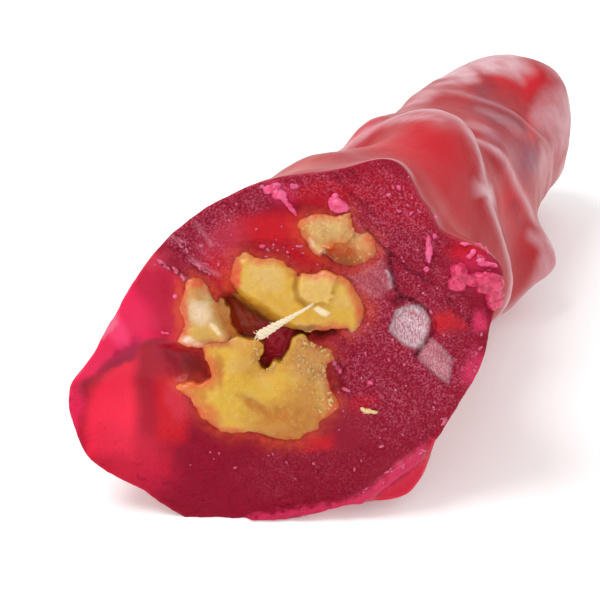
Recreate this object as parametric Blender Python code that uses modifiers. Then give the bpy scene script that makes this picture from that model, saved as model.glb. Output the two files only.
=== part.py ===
"""Churchkhela: walnut kernels threaded on a cotton string and coated in a lumpy red fruit jelly.

One end is cut off on a slant, so the cut shows four kernels, a ragged hollow between them and the
loose end of the string. The piece lies on a table: +Z is up, +Y runs from the cut to the closed end.
Sizes are millimetres until a mesh is made, and the origin is the middle of the footprint.
"""

import math

import bmesh
import bpy
import numpy as np
from mathutils import Matrix, Vector

MM = 0.001
NAME = "churchkhela"

# Driving sizes of the jelly, in the frame of the cut: Y 0 is the middle of the cut face.
AXIS_AT_CUT = 18.6
AXIS_AT_TIP = 14.4
SINK_FROM, SINK_TO = 8.0, 92.0
TIP_ALONG = 111.5
END_ROUND = 18.0

# Radius of the plain body at stations along it; the swells come on top.
BODY = ((0.0, 18.1), (26.0, 15.2), (50.0, 13.4), (75.0, 13.1), (98.0, 13.2))

# The knife went through on a slant: its plane leans back and turns to the right.
CUT_TURN = math.radians(22.0)
CUT_LEAN = math.radians(18.0)
CUT_NORMAL = np.array(
    [
        math.sin(CUT_TURN) * math.cos(CUT_LEAN),
        -math.cos(CUT_TURN) * math.cos(CUT_LEAN),
        math.sin(CUT_LEAN),
    ]
)
CUT_RIGHT = np.array([math.cos(CUT_TURN), math.sin(CUT_TURN), 0.0])
CUT_UP = np.cross(CUT_NORMAL, CUT_RIGHT)
CUT_CENTRE = np.array([0.0, 0.0, AXIS_AT_CUT])
ALONG = np.array([0.0, 1.0, 0.0])

# Where nuts and folds push the skin out or draw it in: along, around in degrees from +X towards
# +Z, height, length before and behind the crest, spread in degrees.
SWELLS = (
    # corners of the cut rim
    (-6.0, 192.0, 3.5, 14.0, 9.0, 13.0),
    (-6.0, 212.0, 4.6, 14.0, 12.0, 16.0),
    (-2.0, 246.0, 2.7, 14.0, 14.0, 20.0),
    (2.0, 150.0, -0.8, 14.0, 10.0, 22.0),
    (10.0, 65.0, 3.8, 14.0, 9.0, 13.0),
    (11.0, 22.0, 5.2, 14.0, 9.0, 14.0),
    (6.0, -8.0, 3.6, 14.0, 13.0, 20.0),
    (2.0, -36.0, 0.5, 14.0, 14.0, 20.0),
    (4.0, -90.0, 1.2, 14.0, 14.0, 22.0),
    (2.0, -48.0, 3.3, 12.0, 10.0, 12.0),
    (6.0, -14.0, -1.4, 12.0, 10.0, 12.0),
    (10.0, 47.0, 0.9, 10.0, 8.0, 6.0),
    (-8.0, 185.0, -0.9, 14.0, 12.0, 6.0),
    # first hump and the neck behind the cut
    (21.0, 112.0, 0.9, 6.0, 7.0, 24.0),
    (12.0, 122.0, -1.1, 16.0, 8.0, 22.0),
    (24.0, 24.0, -1.8, 9.0, 9.0, 24.0),
    (34.0, 120.0, -2.6, 8.0, 4.5, 28.0),
    # first fold
    (42.5, 72.0, 3.7, 11.0, 4.5, 25.0),
    (39.0, -22.0, 2.4, 8.0, 5.0, 22.0),
    (46.0, 114.0, 2.2, 4.5, 10.0, 19.0),
    (38.0, 200.0, 1.4, 10.0, 8.0, 30.0),
    (40.0, -90.0, 0.9, 9.0, 9.0, 26.0),
    # second fold, with the pointed corner
    (54.0, 50.0, 1.2, 5.0, 7.0, 20.0),
    (50.0, 14.0, -1.4, 7.0, 7.0, 22.0),
    (60.5, -24.0, 4.8, 8.0, 6.0, 13.0),
    (53.0, -46.0, 5.4, 12.0, 11.0, 22.0),
    (61.0, -90.0, 3.0, 9.0, 9.0, 26.0),
    (66.0, 195.0, 2.2, 11.0, 7.0, 30.0),
    (23.0, 172.0, 1.6, 8.0, 7.0, 24.0),
    (53.0, 232.0, -1.2, 7.0, 7.0, 24.0),
    # last swell before the closed end
    (76.0, 120.0, 2.8, 18.0, 20.0, 26.0),
    (84.0, 50.0, -1.6, 8.0, 8.0, 20.0),
    (80.0, 0.0, -0.9, 8.0, 8.0, 26.0),
    (80.0, 188.0, -1.0, 6.0, 6.0, 30.0),
    (92.0, 176.0, 1.3, 9.0, 9.0, 26.0),
    (84.0, 236.0, 1.2, 8.0, 8.0, 24.0),
    (94.0, 88.0, 2.4, 13.0, 16.0, 30.0),
    (99.0, 55.0, 2.4, 12.0, 12.0, 23.0),
    (98.0, -8.0, -0.9, 14.0, 12.0, 26.0),
    (88.0, -42.0, -1.6, 10.0, 9.0, 18.0),
    (97.0, -96.0, 1.8, 10.0, 12.0, 30.0),
)

# Relief of the cut face: right, up, height, half width, half height, turn in degrees.
CUT_RELIEF = (
    # smooth scoop where a nut fell out, low on the left
    (-16.0, -5.2, -2.6, 6.2, 5.4, 0.0),
    # flat facet falling away to the upper left rim
    (-21.0, 6.5, -2.0, 6.5, 9.5, 20.0),
    # clumps pushed up at the right rim
    (20.6, 9.6, 1.5, 2.6, 1.9, -10.0),
    (22.0, 6.6, 1.3, 2.2, 1.6, 25.0),
    (18.2, 7.0, 0.8, 1.8, 1.3, 0.0),
    # shallow dish under the right hand part
    (12.0, -6.0, -0.5, 9.0, 8.0, 0.0),
)

AROUND = 60
SKIN_RINGS = 36
CUT_RINGS = 9

# Walnut kernels as merged lobes: right, up and depth of each middle behind the cut, then its
# half sizes to the right, upwards and in depth. Raise is how far the kernel stands off the cut.
KERNELS = {
    "kernel_top": {
        "raise": -0.25,
        "lobes": (
            (4.3, 11.9, 2.5, 2.9, 2.8, 5.5),
            (8.0, 10.7, 3.0, 2.5, 2.2, 5.5),
            (6.2, 11.6, 8.0, 3.0, 2.4, 4.5),
        ),
    },
    "kernel_middle": {
        "raise": 0.5,
        "lobes": (
            (-2.5, 6.2, 2.5, 3.5, 3.6, 5.5),
            (1.4, 5.8, 4.0, 3.6, 2.9, 7.5),
            (5.3, 4.6, 3.0, 4.0, 3.1, 6.5),
            (1.8, 4.6, 10.0, 4.4, 3.2, 6.0),
        ),
    },
    "kernel_left": {
        "raise": -0.4,
        "lobes": (
            (-9.9, 5.2, 2.0, 2.0, 2.7, 4.5),
            (-8.9, 2.6, 2.5, 2.8, 2.7, 5.0),
            (-10.6, 3.4, 7.0, 2.4, 2.6, 4.0),
        ),
    },
    "kernel_bottom": {
        "raise": 0.2,
        "lobes": (
            (-5.5, -2.0, 3.0, 2.8, 1.8, 5.5),
            (-6.9, -5.4, 3.0, 3.3, 3.0, 6.5),
            (-2.3, -7.4, 3.5, 4.2, 3.4, 7.5),
            (2.3, -5.6, 3.0, 3.5, 3.7, 6.5),
            (3.0, -1.6, 2.5, 2.3, 2.6, 5.0),
            (-2.2, -5.0, 10.0, 5.2, 4.2, 5.5),
        ),
    },
}
KERNEL_VOXEL = 0.6
KERNEL_KEEP = 0.13
POCKET_GAP = 0.32

# The dark hollow between the kernels: right, up, depth, half sizes, cut out of the jelly.
HOLLOWS = (
    (-2.4, 1.4, 1.5, 3.0, 1.5, 5.0),
    (-1.0, -1.6, 1.0, 1.7, 1.5, 4.0),
)

# The cotton string: it runs near the axis, leaves the middle kernel and hangs over the hollow.
STRING_RADIUS = 0.42
STRING_GAP = 0.4
STRING_INSIDE = ((0.0, 96.0, 0.0), (0.3, 74.0, 0.4), (-0.2, 50.0, 0.8), (0.6, 28.0, 2.0))
STRING_AT_CUT = ((2.9, 5.0, -6.0), (3.1, 4.7, 0.3), (2.2, 4.2, 1.9), (-0.6, 2.6, 2.2), (-2.9, 1.2, 2.0))


def bell(distance, reach):
    return np.exp(-((distance / reach) ** 2))


def turn_between(around, centre_deg):
    """Signed angle from a swell's direction, in degrees, wrapped to half a turn."""
    return (np.degrees(around) - centre_deg + 180.0) % 360.0 - 180.0


def smooth_step(low, high, value):
    share = np.clip((value - low) / (high - low), 0.0, 1.0)
    return share * share * (3.0 - 2.0 * share)


def body_radius(along):
    """Radius of the plain body, eased from one station to the next."""
    radius = np.full_like(along, BODY[0][1])
    for (low, first), (high, second) in zip(BODY, BODY[1:]):
        radius = radius + (second - first) * smooth_step(low, high, along)
    return radius


def axis_height(along):
    return AXIS_AT_CUT + (AXIS_AT_TIP - AXIS_AT_CUT) * smooth_step(SINK_FROM, SINK_TO, along)


def skin_radius(along, around):
    """Distance of the skin from the axis, for arrays of place along and angle around it."""
    radius = body_radius(along)
    for centre, direction, height, before, behind, spread in SWELLS:
        offset = along - centre
        reach = np.where(offset < 0.0, before, behind)
        radius = radius + height * bell(offset, reach) * bell(turn_between(around, direction), spread)
    past = np.clip((along - (TIP_ALONG - END_ROUND)) / END_ROUND, 0.0, 1.0)
    return radius * np.sqrt(1.0 - past**2)


def skin_point(along, around):
    """Point of the skin; what would reach under the table is flattened on it."""
    radius = skin_radius(along, around)
    x = radius * np.cos(around)
    z = np.maximum(axis_height(along) + radius * np.sin(around), 0.0)
    return np.stack([x, along, z], axis=-1)


def rim_along(around):
    """Where the cut plane meets the skin in each direction."""
    along = np.zeros_like(around)
    for _ in range(60):
        above = (skin_point(along, around) - CUT_CENTRE) @ CUT_NORMAL
        along = along - 0.6 * above / CUT_NORMAL[1]
    return along


def cut_height(right, up):
    """Height of the cut face over the knife's plane."""
    height = np.zeros_like(right)
    for at_right, at_up, tall, half_width, half_height, turn in CUT_RELIEF:
        cosine, sine = math.cos(math.radians(turn)), math.sin(math.radians(turn))
        across = (right - at_right) * cosine + (up - at_up) * sine
        upward = (up - at_up) * cosine - (right - at_right) * sine
        height = height + tall * bell(across, half_width) * bell(upward, half_height)
    return height


def jelly_points(around_count, skin_rings, cut_rings):
    """Rings of points from the middle of the cut, over the rim and along the skin to the tip."""
    around = np.arange(around_count) * math.tau / around_count
    rim = rim_along(around)
    rings = []
    for ring in range(1, cut_rings + 1):
        share = ring / cut_rings
        flat = CUT_CENTRE + (skin_point(rim, around) - CUT_CENTRE) * share
        offset = flat - CUT_CENTRE
        height = cut_height(offset @ CUT_RIGHT, offset @ CUT_UP)
        rings.append(flat + height[:, None] * CUT_NORMAL)
    lift = rings[-1] - skin_point(rim, around)
    for ring in range(1, skin_rings + 1):
        share = ring / (skin_rings + 1)
        along = rim + (TIP_ALONG - rim) * (1.0 - (1.0 - share) ** 1.35)
        fade = 1.0 - smooth_step(0.0, 0.12, share)
        rings.append(skin_point(along, around) + lift * fade)
    points = np.array(rings)
    points[..., 2] = np.maximum(points[..., 2], 0.0)
    return points


def at_cut(right, up, out=0.0):
    """Point over the cut plane, from its own right, up and outward directions."""
    return CUT_CENTRE + right * CUT_RIGHT + up * CUT_UP + out * CUT_NORMAL


def link(name, mesh, collection):
    obj = bpy.data.objects.new(name, mesh)
    collection.objects.link(obj)
    return obj


def make_material(name, colour, roughness):
    material = bpy.data.materials.new(name)
    material.use_nodes = True
    shader = material.node_tree.nodes["Principled BSDF"]
    shader.inputs["Base Color"].default_value = (*colour, 1.0)
    shader.inputs["Roughness"].default_value = roughness
    shader.inputs["Metallic"].default_value = 0.0
    return material


def make_jelly(collection):
    """Loft the rings of the cut face and the skin into one closed body."""
    rings = jelly_points(AROUND, SKIN_RINGS, CUT_RINGS) * MM
    middle = at_cut(0.0, 0.0, float(cut_height(np.zeros(1), np.zeros(1))[0])) * MM
    tip = np.array([0.0, TIP_ALONG, axis_height(np.array(TIP_ALONG))]) * MM
    mesh = bmesh.new()
    centre_vertex = mesh.verts.new(middle)
    tip_vertex = mesh.verts.new(tip)
    grid = [[mesh.verts.new(point) for point in ring] for ring in rings]
    for step in range(AROUND):
        after = (step + 1) % AROUND
        mesh.faces.new((centre_vertex, grid[0][after], grid[0][step]))
        mesh.faces.new((tip_vertex, grid[-1][step], grid[-1][after]))
        for near, far in zip(grid, grid[1:]):
            mesh.faces.new((near[step], near[after], far[after], far[step]))
    bmesh.ops.recalc_face_normals(mesh, faces=mesh.faces)
    bmesh.ops.triangulate(mesh, faces=mesh.faces)
    data = bpy.data.meshes.new("jelly")
    mesh.to_mesh(data)
    mesh.free()
    return link("jelly", data, collection)


def make_lobes(name, lobes, collection):
    """Ellipsoids lined up with the knife's plane, joined in one mesh."""
    mesh = bmesh.new()
    turned = Matrix((CUT_RIGHT, -CUT_NORMAL, CUT_UP)).transposed()
    for right, up, depth, half_right, half_up, half_depth in lobes:
        middle = (at_cut(right, up) + depth * ALONG) * MM
        sizes = Matrix.Diagonal((half_right * MM, half_depth * MM, half_up * MM))
        place = Matrix.Translation(Vector(middle)) @ (turned @ sizes).to_4x4()
        bmesh.ops.create_uvsphere(mesh, u_segments=24, v_segments=16, radius=1.0, matrix=place)
    data = bpy.data.meshes.new(name)
    mesh.to_mesh(data)
    mesh.free()
    return link(name, data, collection)


def apply_modifiers(obj):
    """Replace the object's mesh by its evaluated one and drop the modifiers."""
    graph = bpy.context.evaluated_depsgraph_get()
    data = bpy.data.meshes.new_from_object(obj.evaluated_get(graph))
    obj.modifiers.clear()
    obj.data = data
    return obj


def fuse(obj, voxel, keep):
    """Melt overlapping lobes into one skin and thin its triangles."""
    remesh = obj.modifiers.new("Fuse", "REMESH")
    remesh.mode = "VOXEL"
    remesh.voxel_size = voxel * MM
    smooth = obj.modifiers.new("Ease", "SMOOTH")
    smooth.iterations = 4
    if keep < 1.0:
        thin = obj.modifiers.new("Thin", "DECIMATE")
        thin.ratio = keep
    return apply_modifiers(obj)


def grown_copy(obj, name, gap, collection):
    """A copy pushed outwards along its normals, to cut the pocket the object sits in."""
    data = obj.data.copy()
    data.name = name
    mesh = bmesh.new()
    mesh.from_mesh(data)
    bmesh.ops.recalc_face_normals(mesh, faces=mesh.faces)
    mesh.normal_update()
    moves = [vertex.normal * (gap * MM) for vertex in mesh.verts]
    for vertex, move in zip(mesh.verts, moves):
        vertex.co = vertex.co + move
    mesh.to_mesh(data)
    mesh.free()
    return link(name, data, collection)


def boolean(obj, cutter, operation="DIFFERENCE"):
    modifier = obj.modifiers.new(cutter.name, "BOOLEAN")
    modifier.operation = operation
    modifier.solver = "EXACT"
    modifier.object = cutter
    return apply_modifiers(obj)


def make_knife(name, out, collection):
    """A block whose back face is the knife's plane, moved out by the given distance."""
    size = 60.0
    turned = Matrix((CUT_RIGHT, -CUT_NORMAL, CUT_UP)).transposed().to_4x4()
    place = Matrix.Translation(Vector(at_cut(0.0, 0.0, out + size / 2.0) * MM)) @ turned
    mesh = bmesh.new()
    bmesh.ops.create_cube(mesh, size=size * MM, matrix=place)
    data = bpy.data.meshes.new(name)
    mesh.to_mesh(data)
    mesh.free()
    return link(name, data, collection)


def string_path():
    inside = [np.array([x, y, axis_height(np.array(y)) + lift]) for x, y, lift in STRING_INSIDE]
    outside = [at_cut(*place) for place in STRING_AT_CUT]
    return eased_path(inside + outside, 6)


def eased_path(points, steps):
    """Points of a smooth curve through the given ones."""
    padded = [points[0]] + list(points) + [points[-1]]
    path = []
    for first, start, end, last in zip(padded, padded[1:], padded[2:], padded[3:]):
        for step in range(steps):
            share = step / steps
            bend = 2.0 * first - 5.0 * start + 4.0 * end - last
            turn = 3.0 * start - first - 3.0 * end + last
            path.append(start + 0.5 * share * ((end - first) + share * (bend + share * turn)))
    path.append(points[-1])
    return path


def make_tube(name, path, radius, collection):
    """Round tube along a path, closed at both ends."""
    curve = bpy.data.curves.new(name, "CURVE")
    curve.dimensions = "3D"
    curve.bevel_depth = radius * MM
    curve.bevel_resolution = 1
    curve.use_fill_caps = True
    spline = curve.splines.new("POLY")
    spline.points.add(len(path) - 1)
    for point, place in zip(spline.points, path):
        point.co = (*(place * MM), 1.0)
    holder = link(name + " path", curve, collection)
    graph = bpy.context.evaluated_depsgraph_get()
    data = bpy.data.meshes.new_from_object(holder.evaluated_get(graph))
    bpy.data.objects.remove(holder)
    bpy.data.curves.remove(curve)
    mesh = bmesh.new()
    mesh.from_mesh(data)
    bmesh.ops.remove_doubles(mesh, verts=mesh.verts, dist=0.00001)
    bmesh.ops.recalc_face_normals(mesh, faces=mesh.faces)
    mesh.to_mesh(data)
    mesh.free()
    data.name = name
    return link(name, data, collection)


def finish_mesh(obj, material, sharp_deg):
    """Weld slivers, give the material and shade round parts smooth."""
    mesh = bmesh.new()
    mesh.from_mesh(obj.data)
    bmesh.ops.remove_doubles(mesh, verts=mesh.verts, dist=0.00002)
    bmesh.ops.dissolve_degenerate(mesh, edges=mesh.edges, dist=0.00002)
    bmesh.ops.triangulate(mesh, faces=mesh.faces)
    bmesh.ops.recalc_face_normals(mesh, faces=mesh.faces)
    for edge in mesh.edges:
        edge.smooth = edge.calc_face_angle(0.0) < math.radians(sharp_deg)
    for face in mesh.faces:
        face.smooth = True
        face.material_index = 0
    mesh.to_mesh(obj.data)
    mesh.free()
    obj.data.materials.clear()
    obj.data.materials.append(material)


def centre_footprint(objects):
    """Move every mesh so the origin is the middle of the whole footprint, on the table."""
    corners = np.array([vertex.co for obj in objects for vertex in obj.data.vertices])
    low, high = corners.min(axis=0), corners.max(axis=0)
    shift = -np.array([(low[0] + high[0]) / 2.0, (low[1] + high[1]) / 2.0, low[2]])
    move = Matrix.Translation(Vector(shift))
    for obj in objects:
        obj.data.transform(move)
    return shift


def main():
    for obj in list(bpy.data.objects):
        bpy.data.objects.remove(obj)
    parts = bpy.data.collections.new(NAME)
    cutters = bpy.data.collections.new(NAME + " cutters")
    bpy.context.scene.collection.children.link(parts)
    bpy.context.scene.collection.children.link(cutters)

    jelly = make_jelly(parts)
    tunnel = make_tube("string tunnel", string_path(), STRING_RADIUS + STRING_GAP, cutters)
    kernels = []
    for name, shape in KERNELS.items():
        kernel = make_lobes(name, shape["lobes"], parts)
        fuse(kernel, KERNEL_VOXEL, KERNEL_KEEP)
        pocket = grown_copy(kernel, name + " pocket", POCKET_GAP, cutters)
        boolean(jelly, pocket)
        knife = make_knife(name + " knife", shape["raise"], cutters)
        boolean(kernel, knife)
        kernels.append(kernel)
    for number, hollow in enumerate(HOLLOWS):
        cutter = make_lobes("hollow " + str(number + 1), (hollow,), cutters)
        boolean(jelly, cutter)
    boolean(jelly, tunnel)
    boolean(bpy.data.objects["kernel_middle"], tunnel)
    string = make_tube("string", string_path(), STRING_RADIUS, parts)

    finish_mesh(jelly, make_material("jelly", (0.31, 0.016, 0.05), 0.3), 40.0)
    for kernel in kernels:
        finish_mesh(kernel, make_material(kernel.name, (0.62, 0.36, 0.12), 0.5), 50.0)
    finish_mesh(string, make_material("string", (0.8, 0.66, 0.45), 0.9), 60.0)

    shift = centre_footprint([jelly, string] + kernels)
    for cutter in cutters.objects:
        cutter.data.transform(Matrix.Translation(Vector(shift)))
        cutter.hide_render = True
        cutter.display_type = "WIRE"
    print("shift of the origin in millimetres", (shift / MM).round(3))
    for obj in parts.objects:
        print(obj.name, len(obj.data.polygons), "triangles")


if __name__ == "__main__":
    main()
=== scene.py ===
"""Churchkhela dressed for its portrait: jelly coat, walnut kernels, cotton string and knife crumbs.

Run it as a script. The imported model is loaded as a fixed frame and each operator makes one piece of
the sweet around it. Lengths are millimetres in the maker's frame, where Y 0 is the middle of the cut,
and become metres in the row frame when a mesh is stored.
"""

import math
import random
from collections import namedtuple

import bpy
import numpy as np
from bpy.props import FloatProperty, FloatVectorProperty, IntProperty, PointerProperty
from mathutils import Matrix, Vector, noise


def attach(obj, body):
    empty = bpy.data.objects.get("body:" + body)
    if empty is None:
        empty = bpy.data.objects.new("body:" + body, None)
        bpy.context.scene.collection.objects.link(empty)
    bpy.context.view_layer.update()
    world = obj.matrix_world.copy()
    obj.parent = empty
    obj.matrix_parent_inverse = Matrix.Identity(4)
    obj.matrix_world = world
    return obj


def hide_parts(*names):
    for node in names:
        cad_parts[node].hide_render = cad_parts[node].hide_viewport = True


bl_info = {
    "name": "Churchkhela",
    "version": (1, 0, 0),
    "blender": (4, 5, 0),
    "location": "3D View > Sidebar > Churchkhela",
    "description": "Dresses the packed churchkhela with jelly, walnuts, string and crumbs",
    "category": "Object",
}

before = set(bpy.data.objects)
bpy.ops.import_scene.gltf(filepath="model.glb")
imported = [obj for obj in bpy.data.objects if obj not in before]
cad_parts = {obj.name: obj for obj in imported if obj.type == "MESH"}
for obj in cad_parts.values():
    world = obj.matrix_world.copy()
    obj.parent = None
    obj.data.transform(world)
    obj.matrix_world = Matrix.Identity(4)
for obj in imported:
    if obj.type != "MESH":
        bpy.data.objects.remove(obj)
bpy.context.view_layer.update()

MM = 0.001

# Move from the maker's frame to the row frame, as the source makes it.
SHIFT = np.array([0.367, -49.941, 0.0])

# Sizes of the jelly, the same as in the source.
AXIS_AT_CUT = 18.6
AXIS_AT_TIP = 14.4
SINK_FROM, SINK_TO = 8.0, 92.0
TIP_ALONG = 111.5
END_ROUND = 18.0
BODY = ((0.0, 18.1), (26.0, 15.2), (50.0, 13.4), (75.0, 13.1), (98.0, 13.2))
CUT_TURN = math.radians(22.0)
CUT_LEAN = math.radians(18.0)
CUT_NORMAL = np.array(
    [
        math.sin(CUT_TURN) * math.cos(CUT_LEAN),
        -math.cos(CUT_TURN) * math.cos(CUT_LEAN),
        math.sin(CUT_LEAN),
    ]
)
CUT_RIGHT = np.array([math.cos(CUT_TURN), math.sin(CUT_TURN), 0.0])
CUT_UP = np.cross(CUT_NORMAL, CUT_RIGHT)
# The knife's strokes run down to the right over the cut.
STROKE_FALL = math.radians(-40.0)
STROKE_AHEAD = math.cos(STROKE_FALL) * CUT_RIGHT + math.sin(STROKE_FALL) * CUT_UP
STROKE_ACROSS = np.cross(CUT_NORMAL, STROKE_AHEAD)
STROKE_TURN = Matrix((STROKE_AHEAD, STROKE_ACROSS, CUT_NORMAL)).transposed().to_euler()
CUT_CENTRE = np.array([0.0, 0.0, AXIS_AT_CUT])
ALONG = np.array([0.0, 1.0, 0.0])

# Where nuts and folds push the skin out or draw it in: along, around in degrees, height, length
# before and behind the crest, spread in degrees.
SWELLS = (
    (-6.0, 192.0, 3.5, 14.0, 9.0, 13.0),
    (-6.0, 212.0, 4.6, 14.0, 12.0, 16.0),
    (-2.0, 246.0, 2.7, 14.0, 14.0, 20.0),
    (2.0, 150.0, -0.8, 14.0, 10.0, 22.0),
    (10.0, 65.0, 3.8, 14.0, 9.0, 13.0),
    (11.0, 22.0, 5.2, 14.0, 9.0, 14.0),
    (6.0, -8.0, 3.6, 14.0, 13.0, 20.0),
    (2.0, -36.0, 0.5, 14.0, 14.0, 20.0),
    (4.0, -90.0, 1.2, 14.0, 14.0, 22.0),
    (2.0, -48.0, 3.3, 12.0, 10.0, 12.0),
    (6.0, -14.0, -1.4, 12.0, 10.0, 12.0),
    (10.0, 47.0, 0.9, 10.0, 8.0, 6.0),
    (-8.0, 185.0, -0.9, 14.0, 12.0, 6.0),
    (21.0, 112.0, 0.9, 6.0, 7.0, 24.0),
    (12.0, 122.0, -1.1, 16.0, 8.0, 22.0),
    (24.0, 24.0, -1.8, 9.0, 9.0, 24.0),
    (34.0, 120.0, -2.6, 8.0, 4.5, 28.0),
    (42.5, 72.0, 3.7, 11.0, 4.5, 25.0),
    (39.0, -22.0, 2.4, 8.0, 5.0, 22.0),
    (46.0, 114.0, 2.2, 4.5, 10.0, 19.0),
    (38.0, 200.0, 1.4, 10.0, 8.0, 30.0),
    (40.0, -90.0, 0.9, 9.0, 9.0, 26.0),
    (54.0, 50.0, 1.2, 5.0, 7.0, 20.0),
    (50.0, 14.0, -1.4, 7.0, 7.0, 22.0),
    (60.5, -24.0, 4.8, 8.0, 6.0, 13.0),
    (53.0, -46.0, 5.4, 12.0, 11.0, 22.0),
    (61.0, -90.0, 3.0, 9.0, 9.0, 26.0),
    (66.0, 195.0, 2.2, 11.0, 7.0, 30.0),
    (23.0, 172.0, 1.6, 8.0, 7.0, 24.0),
    (53.0, 232.0, -1.2, 7.0, 7.0, 24.0),
    (76.0, 120.0, 2.8, 18.0, 20.0, 26.0),
    (84.0, 50.0, -1.6, 8.0, 8.0, 20.0),
    (80.0, 0.0, -0.9, 8.0, 8.0, 26.0),
    (80.0, 188.0, -1.0, 6.0, 6.0, 30.0),
    (92.0, 176.0, 1.3, 9.0, 9.0, 26.0),
    (84.0, 236.0, 1.2, 8.0, 8.0, 24.0),
    (94.0, 88.0, 2.4, 13.0, 16.0, 30.0),
    (99.0, 55.0, 2.4, 12.0, 12.0, 23.0),
    (98.0, -8.0, -0.9, 14.0, 12.0, 26.0),
    (88.0, -42.0, -1.6, 10.0, 9.0, 18.0),
    (97.0, -96.0, 1.8, 10.0, 12.0, 30.0),
)

# Thin ridges along the folds, pale with bloom and painted sheen: places as around in degrees and along,
# then height.
FOLDS = (
    (
        (-60, 41), (-28, 38.5), (12, 38), (30, 37), (50, 41), (70, 44), (90, 43.5), (108, 40),
        (125, 38.5), (160, 42),
    ),
    ((-42, 60), (-20, 62), (0, 60), (15, 57), (45, 52), (62, 49), (85, 46.5), (100, 46)),
    ((-30, 84), (10, 82), (50, 77), (80, 72), (110, 70), (140, 73)),
)
FOLD_HEIGHTS = (0.55, 0.5, 0.25)
# Each ridge fades out over this many degrees, and angles are counted from this one on.
FOLD_FADE = 22.0
FOLD_START = -100.0

# Relief of the cut face shared with the source: right, up, height, half width, half height, turn.
CUT_RELIEF = (
    (-16.0, -5.2, -2.6, 6.2, 5.4, 0.0),
    (-21.0, 6.5, -2.0, 6.5, 9.5, 20.0),
    (20.6, 9.6, 1.5, 2.6, 1.9, -10.0),
    (22.0, 6.6, 1.3, 2.2, 1.6, 25.0),
    (18.2, 7.0, 0.8, 1.8, 1.3, 0.0),
    (12.0, -6.0, -0.5, 9.0, 8.0, 0.0),
)

# Chips, plates and dips with a firm edge on the cut: outline, height, softness of the edge.
CHIPS = {
    "bright facet": (
        (
            (12.1, 3.9), (13.4, 4.5), (14.9, 4.3), (15.9, 2.6), (15.5, 0.8), (15.0, -0.6), (13.2, 0.0),
            (11.4, 1.6),
        ),
        -0.45, 0.12,
    ),
    "dusky facet": (
        ((16.0, 0.7), (17.1, 0.0), (18.4, -1.6), (18.0, -4.3), (16.9, -3.6), (14.6, -1.4)),
        -0.3, 0.12,
    ),
    "plate by the kernel": (
        (
            (7.0, 7.6), (8.6, 8.4), (10.6, 9.4), (11.3, 8.6), (11.5, 6.6), (10.4, 5.2), (9.0, 5.4),
            (8.0, 6.4),
        ),
        0.28, 0.15,
    ),
    "rim plate": (
        ((20.7, 4.3), (21.3, 3.6), (22.0, 2.6), (21.8, 1.4), (21.0, 1.8), (20.5, 3.0)),
        0.5, 0.2,
    ),
    "dark notch": (
        ((4.6, -1.9), (5.9, -1.2), (6.7, -3.0), (6.4, -5.2), (5.3, -5.3), (4.8, -3.8)),
        -0.7, 0.3,
    ),
    "torn patch": (
        ((-5.0, 11.2), (-2.6, 11.6), (0.2, 11.0), (0.6, 9.8), (-1.4, 9.9), (-3.0, 10.2), (-4.6, 10.4)),
        -0.3, 0.2,
    ),
    "hollow by the lowest kernel": (
        (
            (-13.4, -0.6), (-10.4, -0.7), (-9.2, -1.2), (-8.2, -2.4), (-7.6, -4.4), (-10.0, -4.8),
            (-12.2, -3.9),
        ),
        -1.0, 0.9,
    ),
    "red hollow": (
        ((15.9, 3.6), (17.4, 3.9), (19.2, 3.4), (19.4, 1.8), (17.6, 1.4), (16.1, 1.7)),
        -0.45, 0.4,
    ),
    "lip": (
        (
            (-4.0, -19.2), (2.0, -18.2), (6.0, -17.4), (8.0, -16.8), (9.4, -15.9), (11.0, -14.8),
            (12.6, -13.3), (14.0, -12.1), (15.6, -10.8), (15.5, -12.4), (14.3, -13.7), (12.7, -14.9),
            (10.9, -16.2), (9.4, -17.4), (8.0, -18.0), (6.0, -18.5), (2.0, -19.2), (-4.0, -20.4),
        ),
        0.75, 0.3,
    ),
    "slope under the lip": (
        (
            (15.9, -10.6), (15.6, -12.5), (14.4, -13.9), (12.8, -15.1), (11.0, -16.4), (9.5, -17.6),
            (8.0, -18.3), (7.5, -22.0), (22.0, -22.0), (22.0, -10.6),
        ),
        -1.0, 0.8,
    ),
}
# Cracks and scratches over the cut: path, depth, half width. A negative depth is a ridge.
CRACKS = (
    (((5.2, 18.7), (7.1, 16.4), (8.4, 15.6), (9.6, 14.2)), 0.3, 0.22),
    (((7.0, 19.2), (7.9, 17.8)), 0.25, 0.2),
    (((8.6, 12.8), (11.4, 10.0), (13.6, 8.2), (16.2, 6.8)), 0.35, 0.24),
    (((8.2, 12.7), (11.0, 9.9)), -0.16, 0.2),
    (((11.4, 9.9), (11.5, 8.2), (11.9, 6.5), (12.7, 5.4)), 0.6, 0.3),
    (((11.2, 7.9), (11.2, 6.2)), -0.28, 0.25),
    (((12.0, 5.0), (13.2, 5.2), (14.4, 4.8), (15.6, 3.8), (16.2, 2.2)), 0.7, 0.38),
    (((16.2, 1.4), (14.4, -1.2)), 0.8, 0.36),
    (((-23.6, -4.6), (-21.2, -3.5), (-18.9, -2.1), (-17.0, -0.7), (-15.2, 0.2), (-12.4, 0.2)), -0.4, 0.9),
    (((-9.8, 13.3), (-8.9, 12.2), (-8.0, 10.9)), -0.2, 0.3),
    (((-12.6, 11.8), (-10.8, 11.1)), -0.16, 0.3),
    (((-13.4, 8.7), (-12.0, 8.0), (-10.6, 7.5)), 0.3, 0.3),
    (((-10.4, 9.4), (-8.8, 8.5), (-7.2, 7.6)), -0.25, 0.4),
    (((-11.6, 10.4), (-9.8, 8.4), (-8.4, 7.7)), 0.25, 0.3),
    (((10.2, 14.9), (12.4, 12.9), (13.2, 11.2)), 0.15, 0.22),
    (((17.8, 5.2), (18.6, 3.6), (20.2, 3.0)), 0.3, 0.3),
)
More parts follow.
